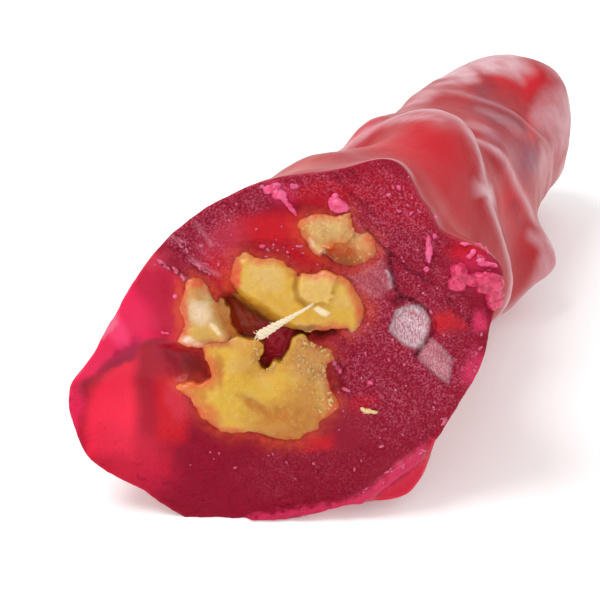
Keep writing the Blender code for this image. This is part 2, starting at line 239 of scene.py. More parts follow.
# Painted glints on the chips as strength and softness of their edge, and the pale painted glint beside the
# plate.
PAINTED_GLINT_CHIPS = {"bright facet": (0.95, 0.25), "dusky facet": (0.42, 0.25), "plate by the kernel": (0.15, 0.3)}
PLATE_GLINT = ((11.0, 8.2), (11.5, 7.4), (11.4, 6.4))
# Colours of the torn lip and of the slope below it: chip, colour, strength.
LIP_TINTS = (("lip", "pink", 0.5), ("slope under the lip", "crimson", 0.9))
# The open gaps between the kernels, as closed outlines that run on under them, with their depth.
GAPS = (
    (
        (
            (-7.3, 5.4), (-6.4, 6.0), (-5.4, 6.0), (-4.4, 5.0), (-2.8, 3.9), (-1.0, 3.0), (1.0, 2.7),
            (3.2, 2.7), (3.4, 1.1), (2.4, 0.6), (1.7, 0.2), (1.4, -0.8), (0.9, -2.0), (0.2, -3.1),
            (-1.2, -3.0), (-2.2, -3.8), (-3.6, -3.2), (-3.9, -1.8), (-3.4, -0.9), (-5.2, -0.4),
            (-6.0, -0.4), (-6.0, 0.8), (-6.7, 2.2), (-7.0, 3.2), (-7.6, 4.4),
        ),
        3.9,
    ),
    (((1.8, 2.8), (6.6, 2.7), (6.4, 1.0), (3.8, 0.1), (2.4, 0.4)), 1.4),
)

# Walnut kernels where the knife crossed them: right, up around each outline.
OUTLINES = {
    "kernel_top": (
        (1.4, 13.2), (2.5, 14.1), (3.9, 14.3), (5.6, 14.2), (7.0, 14.5), (7.3, 13.0), (7.9, 12.7),
        (9.0, 12.3), (9.9, 11.4), (10.1, 10.2), (9.7, 9.3), (8.9, 8.6), (7.7, 8.2), (6.5, 8.1),
        (5.3, 8.4), (4.3, 9.2), (3.2, 10.0), (2.3, 11.2), (1.6, 12.3),
    ),
    "kernel_middle": (
        (-5.6, 9.8), (-4.8, 10.2), (-3.9, 10.0), (-3.4, 9.6), (-2.4, 9.5), (-1.0, 9.5), (0.2, 8.9),
        (1.7, 8.0), (3.0, 7.9), (4.4, 8.2), (5.8, 7.8), (7.0, 7.0), (8.2, 5.7), (9.1, 4.7), (9.5, 3.9),
        (9.1, 2.7), (8.1, 1.8), (7.4, 1.2), (6.5, 1.8), (4.6, 1.7), (2.3, 1.6), (0.4, 1.7), (-1.6, 2.0),
        (-3.6, 2.9), (-5.2, 4.3), (-6.2, 6.2), (-6.1, 7.6), (-5.8, 8.8),
    ),
    "kernel_left": (
        (-10.0, 7.4), (-9.1, 7.2), (-8.2, 6.3), (-7.4, 5.4), (-6.5, 4.4), (-6.1, 3.4), (-5.9, 2.2),
        (-5.3, 1.1), (-4.6, 0.4), (-6.2, 0.1), (-7.8, 0.1), (-9.0, -0.4), (-10.2, -0.3), (-11.7, 0.3),
        (-11.3, 1.1), (-11.1, 2.4), (-11.5, 3.8), (-11.2, 5.4), (-10.8, 6.7),
    ),
    "kernel_bottom": (
        (-8.9, 0.0), (-6.8, 0.5), (-5.0, 0.8), (-3.6, 0.5), (-2.6, 0.2), (-2.4, -0.7), (-3.0, -1.6),
        (-2.7, -2.6), (-2.0, -2.8), (-1.3, -1.9), (-0.4, -2.1), (0.0, -1.2), (0.5, -0.4), (0.9, 0.7),
        (1.5, 1.2), (2.2, 1.1), (2.8, 0.4), (3.8, -0.2), (4.9, -0.4), (5.4, -1.5), (4.8, -2.0),
        (4.4, -2.8), (4.7, -3.7), (5.0, -4.9), (5.9, -6.2), (5.7, -7.1), (4.9, -7.9), (4.0, -8.6),
        (3.9, -9.5), (2.8, -10.1), (1.7, -10.9), (0.2, -11.1), (-1.7, -10.9), (-2.8, -10.3),
        (-4.0, -9.9), (-5.8, -10.1), (-7.0, -9.8), (-8.2, -9.0), (-9.3, -8.0), (-9.9, -7.0),
        (-10.5, -5.9), (-12.1, -4.7), (-10.4, -4.3), (-8.8, -4.3), (-8.1, -3.5), (-8.3, -2.3),
        (-8.8, -1.1),
    ),
}
# How far each kernel runs back into the jelly, and the share of broken grain on its face.
KERNEL_DEPTHS = {"kernel_top": 12.0, "kernel_middle": 15.0, "kernel_left": 10.5, "kernel_bottom": 15.0}
BROKEN_GRAIN = {"kernel_top": 0.6, "kernel_middle": 0.1, "kernel_left": 0.3}
# Steps that draw a kernel back: shares of its depth square to the cut and along the sweet, then
# how far its outline narrows.
KERNEL_STEPS = ((0.4, 0.0, 0.985), (0.0, 0.35, 0.9), (0.0, 0.25, 0.75))

# Raised plates and ridges on the broken faces of the kernels.
TOP_PLATE = (
    (0.5, 13.0), (2.0, 11.4), (2.9, 10.2), (3.5, 9.6), (4.0, 9.8), (4.1, 10.5), (5.0, 10.6), (5.4, 11.2),
    (6.5, 11.2), (7.3, 11.9), (7.5, 13.0), (8.0, 16.0), (0.5, 16.0),
)
FLAP = (
    (1.6, 7.3), (1.5, 6.5), (1.7, 5.4), (2.4, 4.9), (3.2, 4.7), (3.9, 4.9), (4.7, 4.7), (4.8, 5.2),
    (5.4, 5.5), (5.0, 5.9), (5.3, 6.8), (6.0, 8.6), (2.2, 8.6),
)
SLIVER = ((3.0, 4.1), (3.6, 4.5), (4.4, 4.0), (5.0, 3.7), (4.5, 3.2), (3.8, 3.4))
LEFT_RIDGE = ((-10.4, 6.2), (-9.7, 4.0), (-8.5, 2.5), (-6.9, 1.0))
LEFT_FLANK = ((-7.9, 5.9), (-5.9, 4.4), (-4.4, 1.8), (-4.4, 0.2), (-6.0, 0.5), (-6.5, 1.6), (-7.3, 3.4))
BOTTOM_CREASE = ((-4.8, -5.5), (-3.2, -6.3), (-1.8, -7.5))
# Crumbled places of the lowest kernel, as right, up, half sizes, turn and strength.
CRUMBLED = (
    (3.4, -2.2, 3.0, 3.6, 20.0, 1.0),
    (4.6, -6.0, 1.6, 2.4, 0.0, 0.8),
    (-2.6, -0.6, 1.0, 2.0, 0.0, 0.6),
)
FLAP_GROOVE = ((1.3, 7.6), (1.1, 6.4), (1.4, 5.1), (2.2, 4.4))
# Line past which the middle kernel falls away: its distance, then its direction as right and up.
FLANK_LINE = (2.7, 0.56, 0.83)
# Raw front of a kernel over the knife's plane, and how far behind that plane its shaping reaches.
KERNEL_FRONT = 0.95
KERNEL_HELD = 6.0
# How deep the jelly drops under a kernel, and how far it climbs its edge.
POCKET_DEPTH = 5.2
MENISCUS = 0.12

# Small relief as layers of height, size, octaves and seed.
SKIN_LUMPS = ((0.16, 7.0, 3, 2.0), (0.035, 1.6, 2, 4.0))
TORN_EDGE = ((0.18, 0.9, 3, 21.0), (0.16, 0.4, 2, 22.0))
# The rim of the cut is nibbled and a little rounded, and the coat takes up its relief over a length.
NIBBLE = 0.08
RIM_ROUNDING = 0.16
RIM_BLEND = 3.2
TIP_BLEND = 3.0
# Crests are found over these reaches, with their weights, on a body of about this radius.
CREST_REACHES = ((3.0, 0.8), (7.0, 0.5))
CREST_GAIN = 3.0
MEAN_RADIUS = 15.0
# Most that the pale bloom and painted sheen may cover the skin.
MOST_BLOOM_AND_SHEEN = 0.78

# The string: places as x, y and height over the axis, then as right, up and out of the cut.
STRING_INSIDE = ((0.0, 96.0, 0.0), (0.3, 74.0, 0.4), (-0.2, 50.0, 0.8), (0.6, 28.0, 2.0))
STRING_AT_CUT = ((2.9, 5.0, -6.0), (3.1, 4.7, 0.3), (2.2, 4.2, 1.9), (-0.6, 2.6, 2.2), (-2.9, 1.2, 2.0))
STRING_RADIUS = 0.4
PLIES = 3
TWIST_LENGTH = 1.5
LOOSE_LENGTH = 7.0
CLUB_ROUNDING = 0.7
FIBRE_RADIUS = 0.035
FIBRE_SEED = 7

# Portrait camera in the maker's frame.
CAMERA_TURN = math.radians(22.8)
CAMERA_RISE = math.radians(24.5)
CAMERA_AWAY = 130.0
FOCUS_PIXELS = 1188.0
PICTURE_PIXELS = 600.0
CUT_PIXEL = (285.0, 345.0)
SENSOR = 36.0

# Noise of the finishes is stretched along the knife's strokes and down the facets.
STROKE_STRETCH = (9.0, 0.5, 1.0)
GLINT_STREAK_STRETCH = (1.0, 1.0, 0.35)
# Painted sparkles of light on the sandy grains: how close they stand, and their colour.
SPARKS_PER_METRE = 1900.0
SPARK_WHITE = (1.0, 0.86, 0.9, 1.0)

# Loose specks: how many, the half sizes of the oval that holds them, and how far inside the rim the
# torn flecks stay.
SPECK_COUNT = 90
SPECK_FIELD = (21.0, 17.0)
FLECK_MARGIN = 0.35
CRUMB_SEED = 23

# The stage in metres: the table's side, then each light's place, aim, size and share of the power.
TABLE_SIZE = 6.0
LIGHTS = {
    "window": ((-0.2, -0.14, 0.46), (0.0, -0.01, 0.01), 0.26, 1.0),
    "front fill": ((0.16, -0.4, 0.3), (0.0, -0.03, 0.01), 0.4, 0.15),
}


def srgb(red, green, blue):
    """Linear colour from the eight bit values a colour picker shows."""
    values = np.array([red, green, blue]) / 255.0
    return tuple(np.where(values <= 0.04045, values / 12.92, ((values + 0.055) / 1.055) ** 2.4))


CUT_RED = srgb(152, 6, 43)
SKIN_RED = srgb(174, 16, 30)
BLOOM_AND_SHEEN = srgb(228, 186, 194)
COLOURS = {
    "glow": srgb(244, 34, 72),
    "magenta": srgb(226, 30, 84),
    "bright": srgb(206, 10, 30),
    "crimson": srgb(220, 34, 70),
    "rose": srgb(212, 60, 84),
    "wine": srgb(146, 4, 38),
    "maroon": srgb(104, 8, 18),
    "brown": srgb(104, 36, 8),
    "pink": srgb(240, 62, 116),
    "frost": srgb(206, 150, 164),
    "yellow": srgb(220, 174, 50),
    "cream": srgb(222, 186, 120),
    "tan": srgb(202, 142, 76),
    "amber": srgb(188, 98, 8),
    "orange": srgb(208, 78, 8),
    "coral": srgb(216, 78, 44),
    "umber": srgb(112, 46, 6),
    "white": srgb(250, 234, 214),
    "ivory": srgb(204, 164, 108),
    "sun": srgb(216, 174, 50),
    "ruby": srgb(174, 8, 42),
    "plum": srgb(140, 12, 60),
    "olive": srgb(184, 112, 8),
    "shaded nut": srgb(104, 44, 12),
    "void": srgb(190, 66, 30),
    "pit": srgb(206, 24, 52),
    "honey": srgb(188, 114, 16),
    "umber red": srgb(136, 26, 24),
    "sandy pink": srgb(230, 128, 158),
    "knife shade": srgb(96, 2, 22),
    "facet shade": srgb(92, 8, 30),
    "painted glint white": srgb(238, 216, 224),
    "nut speck": srgb(176, 92, 30),
    "nut glint": srgb(250, 228, 168),
    "dark fibre": srgb(226, 190, 140),
    "juice stain": srgb(226, 150, 110),
    "clump pink": srgb(230, 60, 116),
    "clump red": srgb(184, 16, 66),
    "scrap pink": srgb(240, 96, 146),
    "scrap red": srgb(228, 52, 110),
    "pale crumb": srgb(244, 214, 160),
    "tan crumb": srgb(226, 176, 112),
    "pale bit": srgb(226, 182, 112),
    "tan bit": srgb(206, 142, 84),
    "speck pink": srgb(232, 100, 136),
    "speck red": srgb(206, 56, 96),
}

# Tints of the cut jelly: right, up, half width, half height, turn, strength, colour.
CUT_TINTS = (
    (11.5, 16.0, 6.0, 3.0, -30.0, 0.35, "bright"),
    (4.0, 16.6, 4.6, 1.6, 0.0, 0.6, "bright"),
    # A painted glow of light let through the jelly over the middle kernel.
    (-1.0, 12.6, 4.6, 2.6, 0.0, 0.9, "bright"),
    (2.2, 9.6, 2.4, 1.2, -20.0, 0.7, "bright"),
    (-6.8, 11.0, 3.4, 2.6, 40.0, 0.6, "rose"),
    (-7.0, 8.0, 1.6, 2.6, 40.0, 0.8, "bright"),
    # Painted highlight along the left rim of the facet.
    (-19.3, 2.0, 1.3, 3.4, 32.0, 0.9, "pink"),
    (-20.2, 1.3, 0.7, 2.4, -42.0, 0.45, "frost"),
    (-14.8, 7.0, 2.6, 3.6, 30.0, 0.65, "ruby"),
    (-18.4, -1.6, 3.4, 0.9, 38.0, 0.7, "plum"),
    (-14.0, 9.2, 1.8, 1.2, 30.0, 0.5, "rose"),
    (-11.6, 4.0, 0.7, 3.0, 0.0, 0.6, "coral"),
    (-11.8, -6.8, 1.6, 2.4, 20.0, 0.5, "rose"),
    # Painted shade in the hollow beside the lowest kernel.
    (-12.2, -1.6, 2.6, 1.4, -10.0, 0.2, "maroon"),
    (-10.1, -2.7, 1.9, 1.4, 0.0, 0.8, "umber red"),
    # Magenta by the thin left rim, brightened with painted light let through the jelly.
    (-23.7, -8.0, 1.2, 4.6, -4.0, 1.0, "magenta"),
    (-17.0, -13.0, 6.0, 3.4, -30.0, 0.6, "crimson"),
    (5.8, -3.2, 1.6, 3.0, 0.0, 0.6, "wine"),
    (4.0, -14.6, 10.0, 4.0, 0.0, 0.6, "wine"),
    (3.4, -10.9, 2.4, 1.1, 10.0, 0.8, "bright"),
    (9.0, -6.6, 1.9, 1.2, 10.0, 0.5, "bright"),
    (17.6, 2.6, 2.2, 1.3, -10.0, 0.85, "bright"),
    (19.6, 10.4, 2.2, 1.6, 0.0, 0.8, "bright"),
    (9.6, 7.0, 2.2, 2.4, 12.0, 0.3, "rose"),
    (20.6, -2.4, 1.3, 2.4, -10.0, 0.6, "pink"),
    (21.2, 2.8, 1.1, 1.7, 18.0, 0.7, "pink"),
    (20.6, 8.4, 3.0, 2.4, 0.0, 0.4, "pink"),
    (-0.6, 16.4, 2.0, 1.2, -30.0, 0.5, "pink"),
)
# Zones of the cut with a firmer edge: outline, softness, strength, colour. They lie under the tints.
# The magenta facet by the thin left rim is brightened with painted light let through the jelly; the glow
# in the scoop below it is painted light.
ZONES = (
    (
        (
            (-15.6, 11.0), (-12.9, 8.6), (-11.6, 7.0), (-10.8, 5.0), (-10.9, 1.0), (-12.2, 0.3),
            (-13.5, 0.7), (-15.3, 0.2), (-17.2, -0.9), (-19.0, -2.4), (-21.0, -3.7), (-24.5, -5.2),
            (-25.0, 6.0),
        ),
        0.4, 1.0, "magenta",
    ),
    (
        (
            (-12.9, 8.6), (-11.4, 7.0), (-10.6, 5.0), (-10.6, 0.8), (-12.4, 0.3), (-14.4, 0.6),
            (-14.8, 3.4), (-13.8, 6.6),
        ),
        1.4, 0.7, "ruby",
    ),
    (
        (
            (-16.2, -0.3), (-18.8, -2.2), (-20.8, -3.6), (-22.4, -5.0), (-23.2, -9.0), (-21.0, -15.0),
            (-13.0, -15.0), (-11.0, -8.0), (-11.0, -4.0), (-12.0, -0.2),
        ),
        0.35, 1.0, "ruby",
    ),
    (
        (
            (-16.6, -0.8), (-18.8, -2.5), (-20.4, -3.8), (-21.6, -5.6), (-22.3, -7.4), (-22.0, -12.6),
            (-17.0, -12.6), (-16.6, -8.0), (-17.0, -5.0),
        ),
        0.9, 1.0, "glow",
    ),
    (
        ((-14.6, -4.0), (-12.6, -4.0), (-11.4, -5.4), (-10.4, -8.0), (-11.0, -11.0), (-14.2, -11.0)),
        0.8, 0.8, "bright",
    ),
)
# Colours of the open gaps between the kernels, laid on as they sink; the brown under the middle kernel is
# painted shade.
GAP_TINTS = (
    (-4.4, 3.4, 2.8, 3.2, -32.0, 1.0, "void"),
    (-0.8, -0.4, 2.4, 2.6, 0.0, 1.0, "pit"),
    (4.0, 1.5, 2.6, 0.9, 0.0, 0.9, "brown"),
)
# Where the cut is sandy from the knife, and where it is smooth and moist.
SAND = (
    (13.0, 0.0, 7.6, 11.0, 0.0, 1.0),
    (11.5, 13.5, 6.5, 6.5, -30.0, 0.9),
    (-6.2, 15.2, 6.0, 2.3, 24.0, 0.9),
    (3.0, 17.6, 4.4, 1.5, 5.0, 0.8),
    (-9.8, 10.8, 4.6, 2.6, -40.0, 0.9),
    (8.8, 6.0, 3.5, 3.8, 0.0, 1.0),
    (4.0, -14.5, 9.0, 3.5, 0.0, 0.3),
    (-12.0, -7.0, 2.2, 2.8, 0.0, 0.35),
)
MOIST = (
    (-17.4, -2.0, 6.6, 10.5, 12.0, 0.9),
    (-13.0, 4.5, 3.6, 5.0, 10.0, 0.7),
    (-1.0, 12.6, 5.0, 2.0, 0.0, 0.45),
    (5.6, -9.0, 3.6, 3.4, 0.0, 0.5),
    (17.6, 2.6, 2.0, 1.2, -20.0, 0.8),
    (12.6, -15.6, 5.0, 3.0, 40.0, 0.6),
)
# Patches of the skin: along, around in degrees, half length, half spread in degrees, strength, colour.
# The bright patches are painted glow of light let through the jelly.
SKIN_TINTS = (
    (31.0, 72.0, 8.0, 26.0, 0.8, "bright"),
    (25.0, 42.0, 8.0, 20.0, 0.5, "bright"),
    (12.0, 108.0, 6.0, 14.0, 0.4, "coral"),
    (42.0, 122.0, 4.0, 12.0, 0.6, "crimson"),
    (54.0, 8.0, 6.0, 26.0, 0.9, "bright"),
    (55.0, 4.0, 4.0, 12.0, 0.6, "wine"),
    (70.0, 60.0, 8.0, 18.0, 1.0, "wine"),
    (76.0, 82.0, 7.0, 11.0, 0.9, "wine"),
    (78.0, 44.0, 8.0, 9.0, 0.8, "bright"),
    (88.0, 66.0, 6.0, 12.0, 1.0, "bright"),
    (56.0, 48.0, 5.0, 14.0, 0.5, "plum"),
    (66.0, 28.0, 8.0, 14.0, 0.9, "plum"),
    (80.0, -30.0, 16.0, 24.0, 0.4, "plum"),
    (70.0, 150.0, 20.0, 26.0, 0.4, "bright"),
    (30.0, 168.0, 12.0, 24.0, 0.4, "crimson"),
)
# Where the skin is milky with bloom and painted sheen: along, around in degrees, half length, half spread
# in degrees, strength.
SKIN_MILK_AND_SHEEN = (
    (92.0, 92.0, 7.0, 20.0, 0.95),
    (83.0, 108.0, 8.0, 13.0, 0.85),
    (107.0, 80.0, 6.0, 70.0, 0.6),
    (92.0, 32.0, 12.0, 20.0, 0.6),
    (66.0, 112.0, 7.0, 12.0, 0.5),
    (76.0, 14.0, 7.0, 12.0, 0.35),
    (57.0, 62.0, 3.0, 22.0, 0.3),
    (40.5, 94.0, 2.4, 34.0, 0.55),
    (40.0, 34.0, 5.0, 7.5, 0.75),
    (41.0, 46.0, 3.0, 10.0, 0.5),
    (43.0, 8.0, 2.4, 16.0, 0.5),
    (59.0, -20.0, 2.4, 14.0, 0.5),
    (70.0, 58.0, 2.0, 16.0, 0.25),
    (26.0, 112.0, 4.0, 10.0, 0.4),
    (98.0, -20.0, 8.0, 20.0, 0.5),
)
KERNEL_TINTS = {
    "kernel_top": ("tan", (
        (4.4, 13.0, 3.0, 1.5, 0.0, 0.5, "cream"),
        (5.6, 9.8, 2.6, 1.7, 0.0, 1.0, "orange"),
        (7.2, 8.7, 2.8, 1.1, 0.0, 0.95, "amber"),
        (8.4, 11.2, 1.2, 1.0, 0.0, 0.6, "cream"),
        (3.3, 10.4, 0.8, 0.9, 20.0, 0.9, "cream"),
        (9.0, 10.8, 1.5, 1.6, 0.0, 0.4, "coral"),
        (1.7, 12.4, 0.8, 1.6, 0.0, 0.6, "amber"),
        # Painted glints.
        (2.9, 11.2, 0.25, 1.0, 32.0, 0.9, "white"),
        (3.8, 10.2, 0.6, 0.25, 20.0, 0.9, "white"),
        (7.6, 12.8, 0.2, 0.6, -30.0, 0.8, "white"),
    )),
    "kernel_middle": ("yellow", (
        (-5.5, 7.8, 0.9, 2.4, -6.0, 0.95, "coral"),
        (-2.6, 8.6, 2.4, 1.4, -20.0, 0.4, "cream"),
        # Painted shade under the lower edge.
        (3.4, 1.8, 3.6, 0.5, 0.0, 0.85, "umber"),
        (-1.6, 7.4, 1.8, 1.4, 0.0, 0.5, "cream"),
        (6.4, 5.0, 1.6, 1.2, 0.0, 0.4, "cream"),
        (8.7, 3.4, 1.2, 2.2, 20.0, 0.95, "coral"),
        (8.0, 5.2, 0.9, 1.8, 40.0, 0.6, "coral"),
        (6.0, 7.3, 2.0, 0.7, -25.0, 0.5, "tan"),
    )),
    "kernel_left": ("ivory", (
        (-10.0, 6.4, 1.4, 1.7, 0.0, 0.9, "tan"),
        (-11.1, 3.4, 0.6, 3.4, 0.0, 0.8, "coral"),
        (-9.6, 6.9, 1.2, 0.7, 0.0, 0.7, "coral"),
        (-9.0, 1.2, 2.4, 1.3, 0.0, 0.6, "yellow"),
        (-6.8, 3.6, 0.9, 2.0, 25.0, 0.8, "tan"),
        (-5.6, 1.4, 0.8, 1.7, 20.0, 0.95, "amber"),
        # The white marks are painted glints on the glassy flesh.
        (-10.9, 0.4, 1.1, 0.6, 0.0, 0.95, "white"),
        (-8.9, -0.1, 1.6, 0.35, -8.0, 0.8, "white"),
        (-9.2, 3.6, 1.2, 1.5, 0.0, 0.5, "white"),
        (-7.6, 1.9, 0.3, 0.9, 40.0, 0.7, "white"),
    )),
    "kernel_bottom": ("yellow", (
        (-6.0, -6.2, 3.0, 2.6, 0.0, 0.6, "sun"),
        (-3.4, -1.8, 2.2, 2.4, 0.0, 0.35, "honey"),
        (2.6, -1.4, 2.8, 2.8, 0.0, 0.85, "tan"),
        (3.4, -5.4, 2.4, 3.0, 0.0, 0.6, "tan"),
        (4.4, -3.6, 1.0, 1.6, 0.0, 0.6, "cream"),
        (0.4, -8.6, 4.8, 2.8, 0.0, 0.95, "honey"),
        (1.6, -5.8, 2.4, 2.0, 0.0, 0.5, "honey"),
        # Painted shade on the left flank.
        (-7.6, -2.8, 1.0, 2.0, 0.0, 0.8, "amber"),
        (-3.4, -6.6, 2.0, 0.7, -36.0, 0.7, "amber"),
        (-8.6, -7.6, 2.0, 1.4, -40.0, 0.7, "orange"),
        (-6.4, -9.6, 2.0, 0.8, 0.0, 0.6, "coral"),
        (-5.2, 0.2, 3.4, 0.8, 0.0, 0.5, "tan"),
        # Painted shade on the left flank.
        (-8.2, -3.4, 0.7, 1.6, 0.0, 0.8, "amber"),
        (-9.8, -5.4, 1.4, 1.2, 0.0, 0.6, "amber"),
        (5.2, -6.2, 0.9, 1.6, 0.0, 0.7, "coral"),
    )),
}


def paint(name):
    """A named colour with the fourth value that a shader socket takes."""
    return (*COLOURS[name], 1.0)


def bell(distance, reach):
    """One at no distance, falling away smoothly past the reach."""
    return np.exp(-((distance / reach) ** 2))


def turn_between(around, centre_deg):
    """Signed angle from a direction, in degrees, wrapped to half a turn."""
    return (np.degrees(around) - centre_deg + 180.0) % 360.0 - 180.0


def smooth_step(low, high, value):
    """Smooth rise from zero to one between two values."""
    share = np.clip((value - low) / (high - low), 0.0, 1.0)
    return share * share * (3.0 - 2.0 * share)


def turned_offset(right, up, at_right, at_up, turn):
    """Offsets from a place on the cut, along the axes of a feature turned on it."""
    cosine, sine = math.cos(math.radians(turn)), math.sin(math.radians(turn))
    across = (right - at_right) * cosine + (up - at_up) * sine
    upward = (up - at_up) * cosine - (right - at_right) * sine
    return across, upward


def ripple(points, scale, octaves=3, seed=0.0):
    """Fractal noise at each point, about minus one to one, with features of the given size."""
    shift = Vector((seed, seed * 1.7, -seed))
    values = [
        noise.fractal(Vector(point) / scale + shift, 1.0, 2.0, octaves) for point in points.reshape(-1, 3)
    ]
    return np.array(values).reshape(points.shape[:-1])


def ripples(points, layers):
    """Sum of noise layers, each given as height, size, octaves and seed."""
    return sum(height * ripple(points, size, octaves, seed) for height, size, octaves, seed in layers)


def at_cut(right, up, out=0.0):
    """Point over the cut plane, from its own right, up and outward directions."""
    return CUT_CENTRE + right * CUT_RIGHT + up * CUT_UP + out * CUT_NORMAL


def cut_places(points):
    """Right, up and outward distances of points from the middle of the cut."""
    offset = points - CUT_CENTRE
    return offset @ CUT_RIGHT, offset @ CUT_UP, offset @ CUT_NORMAL


def body_radius(along):
    """Radius of the coat without its swells and folds."""
    radius = np.full_like(along, BODY[0][1])
    for (low, first), (high, second) in zip(BODY, BODY[1:]):
        radius = radius + (second - first) * smooth_step(low, high, along)
    return radius


def axis_height(along):
    """Height of the string's line over the table."""
    return AXIS_AT_CUT + (AXIS_AT_TIP - AXIS_AT_CUT) * smooth_step(SINK_FROM, SINK_TO, along)


def fold_ridges(along, around, before=3.2, behind=1.5):
    """Height of the thin ridges, slow to rise before the fold and quick to fall behind it."""
    total = np.zeros_like(along)
    degrees = (np.degrees(around) - FOLD_START) % 360.0 + FOLD_START
    for places, height in zip(FOLDS, FOLD_HEIGHTS):
        angles = [place[0] for place in places]
        crest = np.interp(degrees, angles, [place[1] for place in places])
        ends = smooth_step(angles[0], angles[0] + FOLD_FADE, degrees)
        ends = ends * (1.0 - smooth_step(angles[-1] - FOLD_FADE, angles[-1], degrees))
        offset = along - crest
        reach = np.where(offset < 0.0, before, behind)
        total = total + height * ends * bell(offset, reach)
    return total


def skin_radius(along, around):
    """Distance of the skin from the axis, for arrays of place along and angle around it."""
    radius = body_radius(along)
    for centre, direction, height, before, behind, spread in SWELLS:
        offset = along - centre
        reach = np.where(offset < 0.0, before, behind)
        radius = radius + height * bell(offset, reach) * bell(turn_between(around, direction), spread)
    past = np.clip((along - (TIP_ALONG - END_ROUND)) / END_ROUND, 0.0, 1.0)
    return (radius + fold_ridges(along, around)) * np.sqrt(1.0 - past**2)


def skin_point(along, around):
    radius = skin_radius(along, around)
    x = radius * np.cos(around)
    z = np.maximum(axis_height(along) + radius * np.sin(around), 0.0)
    return np.stack([x, along, z], axis=-1)


def rim_along(around, rounds=60, stride=0.6):
    """Where the cut plane meets the skin in each direction."""
    along = np.zeros_like(around)
    for _ in range(rounds):
        above = (skin_point(along, around) - CUT_CENTRE) @ CUT_NORMAL
        along = along - stride * above / CUT_NORMAL[1]
    return along


def rim_outline(corners=72):
    """Outline of the cut as right and up of its corners."""
    around = np.arange(corners) * math.tau / corners
    rim_right, rim_up, _ = cut_places(skin_point(rim_along(around), around))
    return tuple(zip(rim_right, rim_up))


def oval_reach(right, up, at_right, at_up, half_width, half_height, turn):
    """Distance from the middle of a turned oval, one on its edge."""
    across, upward = turned_offset(right, up, at_right, at_up, turn)
    return np.sqrt((across / half_width) ** 2 + (upward / half_height) ** 2)


def patches(right, up, ovals, soft=0.35):
    """Strongest of several ovals, each with its strength and an edge soft by a share of its size."""
    cover = np.zeros_like(right)
    for *shape, strength in ovals:
        inside = 1.0 - smooth_step(1.0 - soft, 1.0 + soft, oval_reach(right, up, *shape))
        cover = np.maximum(cover, strength * inside)
    return cover


def path_distance(right, up, path):
    """Distance to the nearest stretch of a path over the cut."""
    nearest = np.full(right.shape, 1e6)
    for (x, y), (next_x, next_y) in zip(path, path[1:]):
        run, rise = next_x - x, next_y - y
        share = np.clip(((right - x) * run + (up - y) * rise) / (run**2 + rise**2), 0.0, 1.0)
        nearest = np.minimum(nearest, np.hypot(right - x - share * run, up - y - share * rise))
    return nearest


def inside_reach(right, up, outline):
    """Distance to a closed outline, above zero inside it and below zero outside."""
    inside = np.zeros(right.shape, bool)
    closed = (*outline, outline[0])
    for (x, y), (next_x, next_y) in zip(closed, closed[1:]):
        if y != next_y:
            crosses = (up < y) != (up < next_y)
            inside ^= crosses & (right < x + (up - y) / (next_y - y) * (next_x - x))
    distance = path_distance(right, up, closed)
    return np.where(inside, distance, -distance)


def firm(right, up, outline, soft):
    """One inside an outline and zero outside, over a soft edge in millimetres."""
    return smooth_step(-soft, soft, inside_reach(right, up, outline))


def skin_patches(along, around, places):
    """Cover of each soft patch of the skin, with its last entries, in the order they are laid."""
    for centre, direction, half_length, half_spread, *rest in places:
        aside = turn_between(around, direction) / half_spread
        reach = np.hypot((along - centre) / half_length, aside)
        yield 1.0 - smooth_step(0.2, 1.5, reach), rest


def kernel_reach(right, up):
    """Distance inside the nearest kernel's outline, below zero outside them all."""
    reaches = [inside_reach(right, up, outline) for outline in OUTLINES.values()]
    return np.max(reaches, axis=0)


def cut_relief(right, up):
    """Height of the cut face over the knife's plane, and how deep it lies in a gap."""
    height = np.zeros_like(right)
    for at_right, at_up, tall, half_width, half_height, turn in CUT_RELIEF:
        across, upward = turned_offset(right, up, at_right, at_up, turn)
        height = height + tall * bell(across, half_width) * bell(upward, half_height)
    places = np.stack([right, up, np.zeros_like(right)], axis=-1)
    wander = ripple(places, 2.2, 4, 3.0)
    fine = ripple(places, 0.9, 3, 7.0)
    warped_right, warped_up = right + 0.22 * wander + 0.1 * fine, up + 0.22 * fine - 0.1 * wander
    for outline, tall, soft in CHIPS.values():
        height = height + tall * firm(warped_right, warped_up, outline, soft)
    for path, depth, half_width in CRACKS:
        height = height - depth * bell(path_distance(warped_right, warped_up, path), half_width)
    rough = 1.0 - 0.85 * patches(right, up, MOIST)
    steps = np.floor((wander + 0.35 * up + 0.2 * right) * 1.6) / 1.6
    height = height + rough * (0.1 * wander + 0.06 * fine + 0.07 * (steps - 0.35 * up - 0.2 * right))
    across, upward = turned_offset(right, up, 0.0, 0.0, -52.0)
    strokes = np.stack([across * 0.12, upward * 2.2, np.zeros_like(right)], axis=-1)
    height = height + rough * 0.07 * ripple(strokes, 1.6, 2, 11.0)
    gap = np.zeros_like(right)
    for outline, depth in GAPS:
        inside = inside_reach(warped_right, warped_up, outline)
        gap = np.maximum(gap, depth * smooth_step(-0.1, 1.3, inside))
    kernels = kernel_reach(right, up)
    meniscus = MENISCUS * bell(kernels, 0.55) * (gap < 0.2)
    pocket = POCKET_DEPTH * smooth_step(0.55, 0.95, kernels)
    return height + meniscus - np.maximum(gap, pocket), gap


def cut_ground(right, up):
    """Height of the cut face at one place."""
    height, _ = cut_relief(np.array([right]), np.array([up]))
    return float(height[0])


def mix(first, second, share):
    """Colours of the first turned towards the second by a share for each place."""
    share = np.asarray(share)[..., None]
    return first * (1.0 - share) + np.asarray(second) * share


